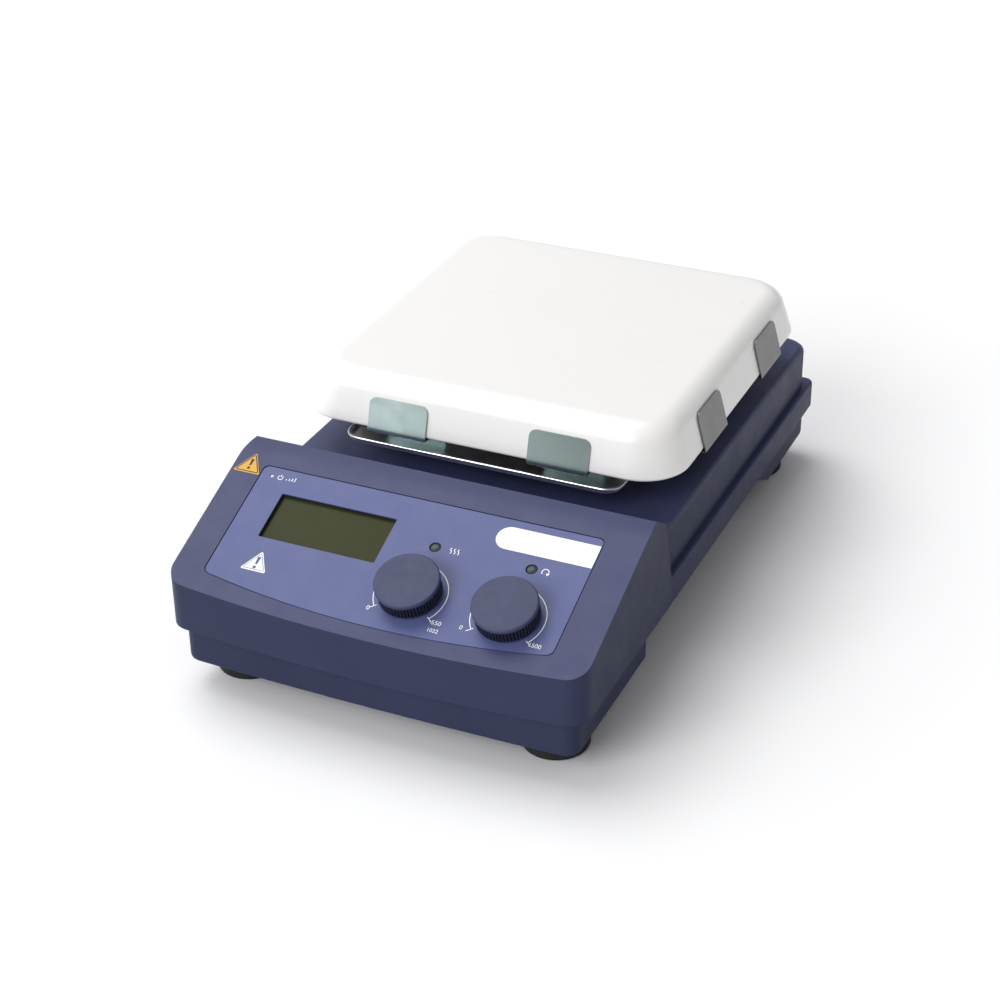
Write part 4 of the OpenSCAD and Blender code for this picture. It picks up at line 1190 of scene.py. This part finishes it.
def strip_ring(point, direction, half_width, turn, centre):
    """Cross-section of a bent strip, with its long edges slightly rounded."""
    normal = Vector((-direction.y, direction.x))
    t, e = CLIP_T / 2, 0.16
    section = [(-half_width + e, -t), (half_width - e, -t), (half_width, -t + e),
               (half_width, t - e), (half_width - e, t), (-half_width + e, t),
               (-half_width, t - e), (-half_width, -t + e)]
    ring = []
    for across, out in section:
        r = point[0] + normal.x * out
        z = point[1] + normal.y * out
        ring.append(turn @ Vector((centre + across, -r, z)) + Vector((0, PLATE_Y, 0)))
    return ring


def build_clips(name, node, degrees, slot="clip_steel"):
    """The two spring clips on one side of the plate."""
    turn = Matrix.Rotation(math.radians(degrees), 3, "Z")
    path = clip_path(box_mm(node)[1].z)
    corner = CLIP_TIP_R
    bm = bmesh.new()
    for centre in (-CLIP_AT, CLIP_AT):
        rings = []
        for i, point in enumerate(path):
            before = Vector(path[max(0, i - 1)])
            after = Vector(path[min(len(path) - 1, i + 1)])
            direction = (after - before).normalized()
            rings.append(strip_ring(point, direction, CLIP_W / 2, turn, centre))
        tip = Vector(path[-1])
        direction = (tip - Vector(path[-2])).normalized()
        rings = rings[:-4]
        base = Vector(path[-5])
        length = (tip - base).length
        for a in radians(0, 15, 30, 45, 60, 75, 84):
            along = length - corner + corner * math.sin(a)
            half = CLIP_W / 2 - corner + corner * math.cos(a)
            point = base + direction * along
            rings.append(strip_ring(point, direction, half, turn, centre))
        loft(bm, rings)
    clips = finish_surface(new_object(name, bm), 35)
    mount_piece(clips, "case", "clip_steel", [node], [slot])


def shield_outline(inset):
    """Cross-shaped outline: long wings at front and rear, short ones at the sides."""
    radius = 9.0
    half_x = SHIELD_HIGH.x - inset
    half_y = (SHIELD_HIGH.y - SHIELD_LOW.y) / 2 - inset
    wing = SHIELD_WING - inset
    quarter = arc(wing - radius, half_y - radius, radius, 90, 0, 8) + [(wing, wing)]
    quarter += arc(half_x - radius, wing - radius, radius, 90, 0, 8)
    right = quarter + [(x, -y) for x, y in reversed(quarter)]
    return right + [(-x, y) for x, y in reversed(right)]


def build_shield():
    """Polished cross-shaped tray with a rolled lip that catches the light."""
    floor, top = SHIELD_LOW.z, SHIELD_HIGH.z
    bead = SHIELD_BEAD
    levels = [(2.0, floor + 0.8), (1.25, floor + 1.3), (1.25, top - 1.2)]
    levels += [(bead - bead * math.cos(a), top - bead + bead * math.sin(a))
               for a in radians(150, 125, 100, 75, 50, 25, 0, -30, -60)]
    levels += [(0.6, top - 1.7), (0.6, floor + 0.9), (0.9, floor + 0.25), (1.8, floor)]
    rings = [[(x, y + PLATE_Y, z) for x, y in shield_outline(inset)] for inset, z in levels]
    shield = lofted("shield_polished", rings)
    for sx in (-1, 1):
        for sy in (-1, 1):
            place = Matrix.Translation((sx * POST_AT, PLATE_Y + sy * POST_AT, 0))
            cut(shield, cylinder("hole", 2.2, floor - 1, floor + 4, place, 24))
    finish_surface(shield, 40)
    mount_piece(shield, "case", "shield_steel", ["heat_shield"])


# ---------------------------------------------------------------- carried-over CAD nodes

ROUNDED = {
    "power_inlet": 0.5, "switch_body": 0.35, "switch_rocker": 0.4, "fuse_drawer": 0.3,
    "rear_panel": 0.2, "probe_socket": 0.3, "data_port": 0.25, "rod_socket": 0.3,
    "motor_stator": 0.5, "magnet_carrier": 0.4, "drive_magnets": 0.4, "transformer": 0.4,
    "heat_sink": 0.2, "capacitors": 0.5, "plate_posts": 0.2, "element_clamp": 0.2,
    "motor_bracket": 0.2, "inlet_pins": 0.25,
}


def dress_cad_nodes():
    """Gives every CAD node its procedural material, and small edge rounds where seen."""
    slot_of = {s["node"]: s["material_slot"] for s in frame["record"]["subparts"]}
    for name, obj in NODES.items():
        paint(obj, slot_of[name])
        if obj.hide_render:
            continue
        if name in ROUNDED:
            bevel = obj.modifiers.new("edges", "BEVEL")
            bevel.width = ROUNDED[name] * MM
            bevel.segments = 2
            bevel.limit_method = "ANGLE"
            bevel.angle_limit = math.radians(50)
            bevel.use_clamp_overlap = True


# ---------------------------------------------------------------- studio

FLOOR_HALF = 6000
FLOOR_Z = -0.05
FLOOR_TONES = (0.95, 0.95, 0.955), (0.97, 0.97, 0.97)
SKY_COLOUR = (0.98, 0.985, 1.0, 1.0)
SKY_EDGES = {"From Min": -0.47, "From Max": -0.29, "To Min": 1.0, "To Max": 0.35}
CAMERA_AZIMUTH = 24.79
CAMERA_ELEVATION = 30.13
CAMERA_ROLL = -0.80
CAMERA_LENS = 75.99
CAMERA_AT = (0.39523, -0.88063, 0.58973 + FOOT_DROP * MM)


def build_stage():
    """Flat pale floor, just under the feet."""
    g = Graph("studio_floor")
    tone = g.mix(g.spread(g.noise(400, 3.0), 0.0, 1.0), *FLOOR_TONES)
    g.use(tone, g.spread(g.noise(60, 4.0), 0.6, 0.75))
    bm = bmesh.new()
    corners = [(-1, -1), (1, -1), (1, 1), (-1, 1)]
    bm.faces.new([bm.verts.new((x * FLOOR_HALF, y * FLOOR_HALF, FLOOR_Z)) for x, y in corners])
    floor = new_object("studio_ground", bm)
    floor.data.materials.append(g.material)


def soft_sun(name, towards, spread, power):
    """A broad even light from a direction, with its spread in degrees."""
    light = bpy.data.lights.new(name, "SUN")
    light.energy = power
    light.angle = math.radians(spread)
    obj = bpy.data.objects.new(name, light)
    obj.rotation_euler = Vector(towards).to_track_quat("Z", "Y").to_euler()
    bpy.context.scene.collection.objects.link(obj)


def build_lights():
    """A pale sky that dims to the right, and large soft lights overhead and in front."""
    world = bpy.data.worlds.new("studio_sky")
    bpy.context.scene.world = world
    world.use_nodes = True
    nodes, links = world.node_tree.nodes, world.node_tree.links
    sky = nodes["Background"]
    sky.inputs["Color"].default_value = SKY_COLOUR
    axes = nodes.new("ShaderNodeSeparateXYZ")
    links.new(nodes.new("ShaderNodeTexCoord").outputs["Generated"], axes.inputs["Vector"])
    level = nodes.new("ShaderNodeMapRange")
    level.interpolation_type = "SMOOTHSTEP"
    for name, value in SKY_EDGES.items():
        level.inputs[name].default_value = value
    links.new(axes.outputs["X"], level.inputs["Value"])
    links.new(level.outputs["Result"], sky.inputs["Strength"])
    soft_sun("overhead", (-0.38, 0.19, 0.9), 42, 1.22)
    soft_sun("front", (-0.28, -0.82, 0.5), 36, 1.55)


def build_camera():
    """Camera at the reference view: above and to the right of the panel."""
    azimuth, elevation, roll = radians(CAMERA_AZIMUTH, CAMERA_ELEVATION, CAMERA_ROLL)
    back = Vector((math.sin(azimuth) * math.cos(elevation),
                   -math.cos(azimuth) * math.cos(elevation), math.sin(elevation)))
    right = (-back).cross(Vector((0, 0, 1))).normalized()
    up = right.cross(-back)
    tilted_right = right * math.cos(roll) + up * math.sin(roll)
    tilted_up = up * math.cos(roll) - right * math.sin(roll)
    camera = bpy.data.cameras.new("camera")
    camera.sensor_width = 36.0
    camera.lens = CAMERA_LENS
    camera.clip_start = 0.05
    obj = bpy.data.objects.new("camera", camera)
    axes = Matrix((tilted_right, tilted_up, back)).transposed().to_4x4()
    obj.matrix_world = Matrix.Translation(CAMERA_AT) @ axes
    bpy.context.scene.collection.objects.link(obj)
    bpy.context.scene.camera = obj
    bpy.context.scene.view_settings.view_transform = "Standard"


# ---------------------------------------------------------------- assembly

build_camera()
build_housing()
build_pan()
build_feet()
build_overlay()
build_display()
build_lamp("heat_lens", "heat_lamp", HEAT_U, LAMP_V, LAMP_R, "lamp_lens")
build_lamp("stir_lens", "stir_lamp", STIR_U, LAMP_V, LAMP_R, "lamp_lens")
build_lamp("power_lens", "power_lamp", *POWER_LAMP, 1.0, "power_lens")
build_marks()
build_label()
build_knob("heat_knob", "heat_knob", "heat_control", HEAT_U)
build_knob("stir_knob", "stir_knob", "stir_control", STIR_U)
build_plate()
build_clips("clips_front", "plate_clips_front", 0)
build_clips("clips_rear", "plate_clips_rear", 180)
# The side clips take the darker grey copy of the clip steel, a painted reflection.
build_clips("clips_left", "plate_clips_left", -90, "side_clip_steel")
build_clips("clips_right", "plate_clips_right", 90, "side_clip_steel")
build_shield()
dress_cad_nodes()
build_stage()
build_lights()
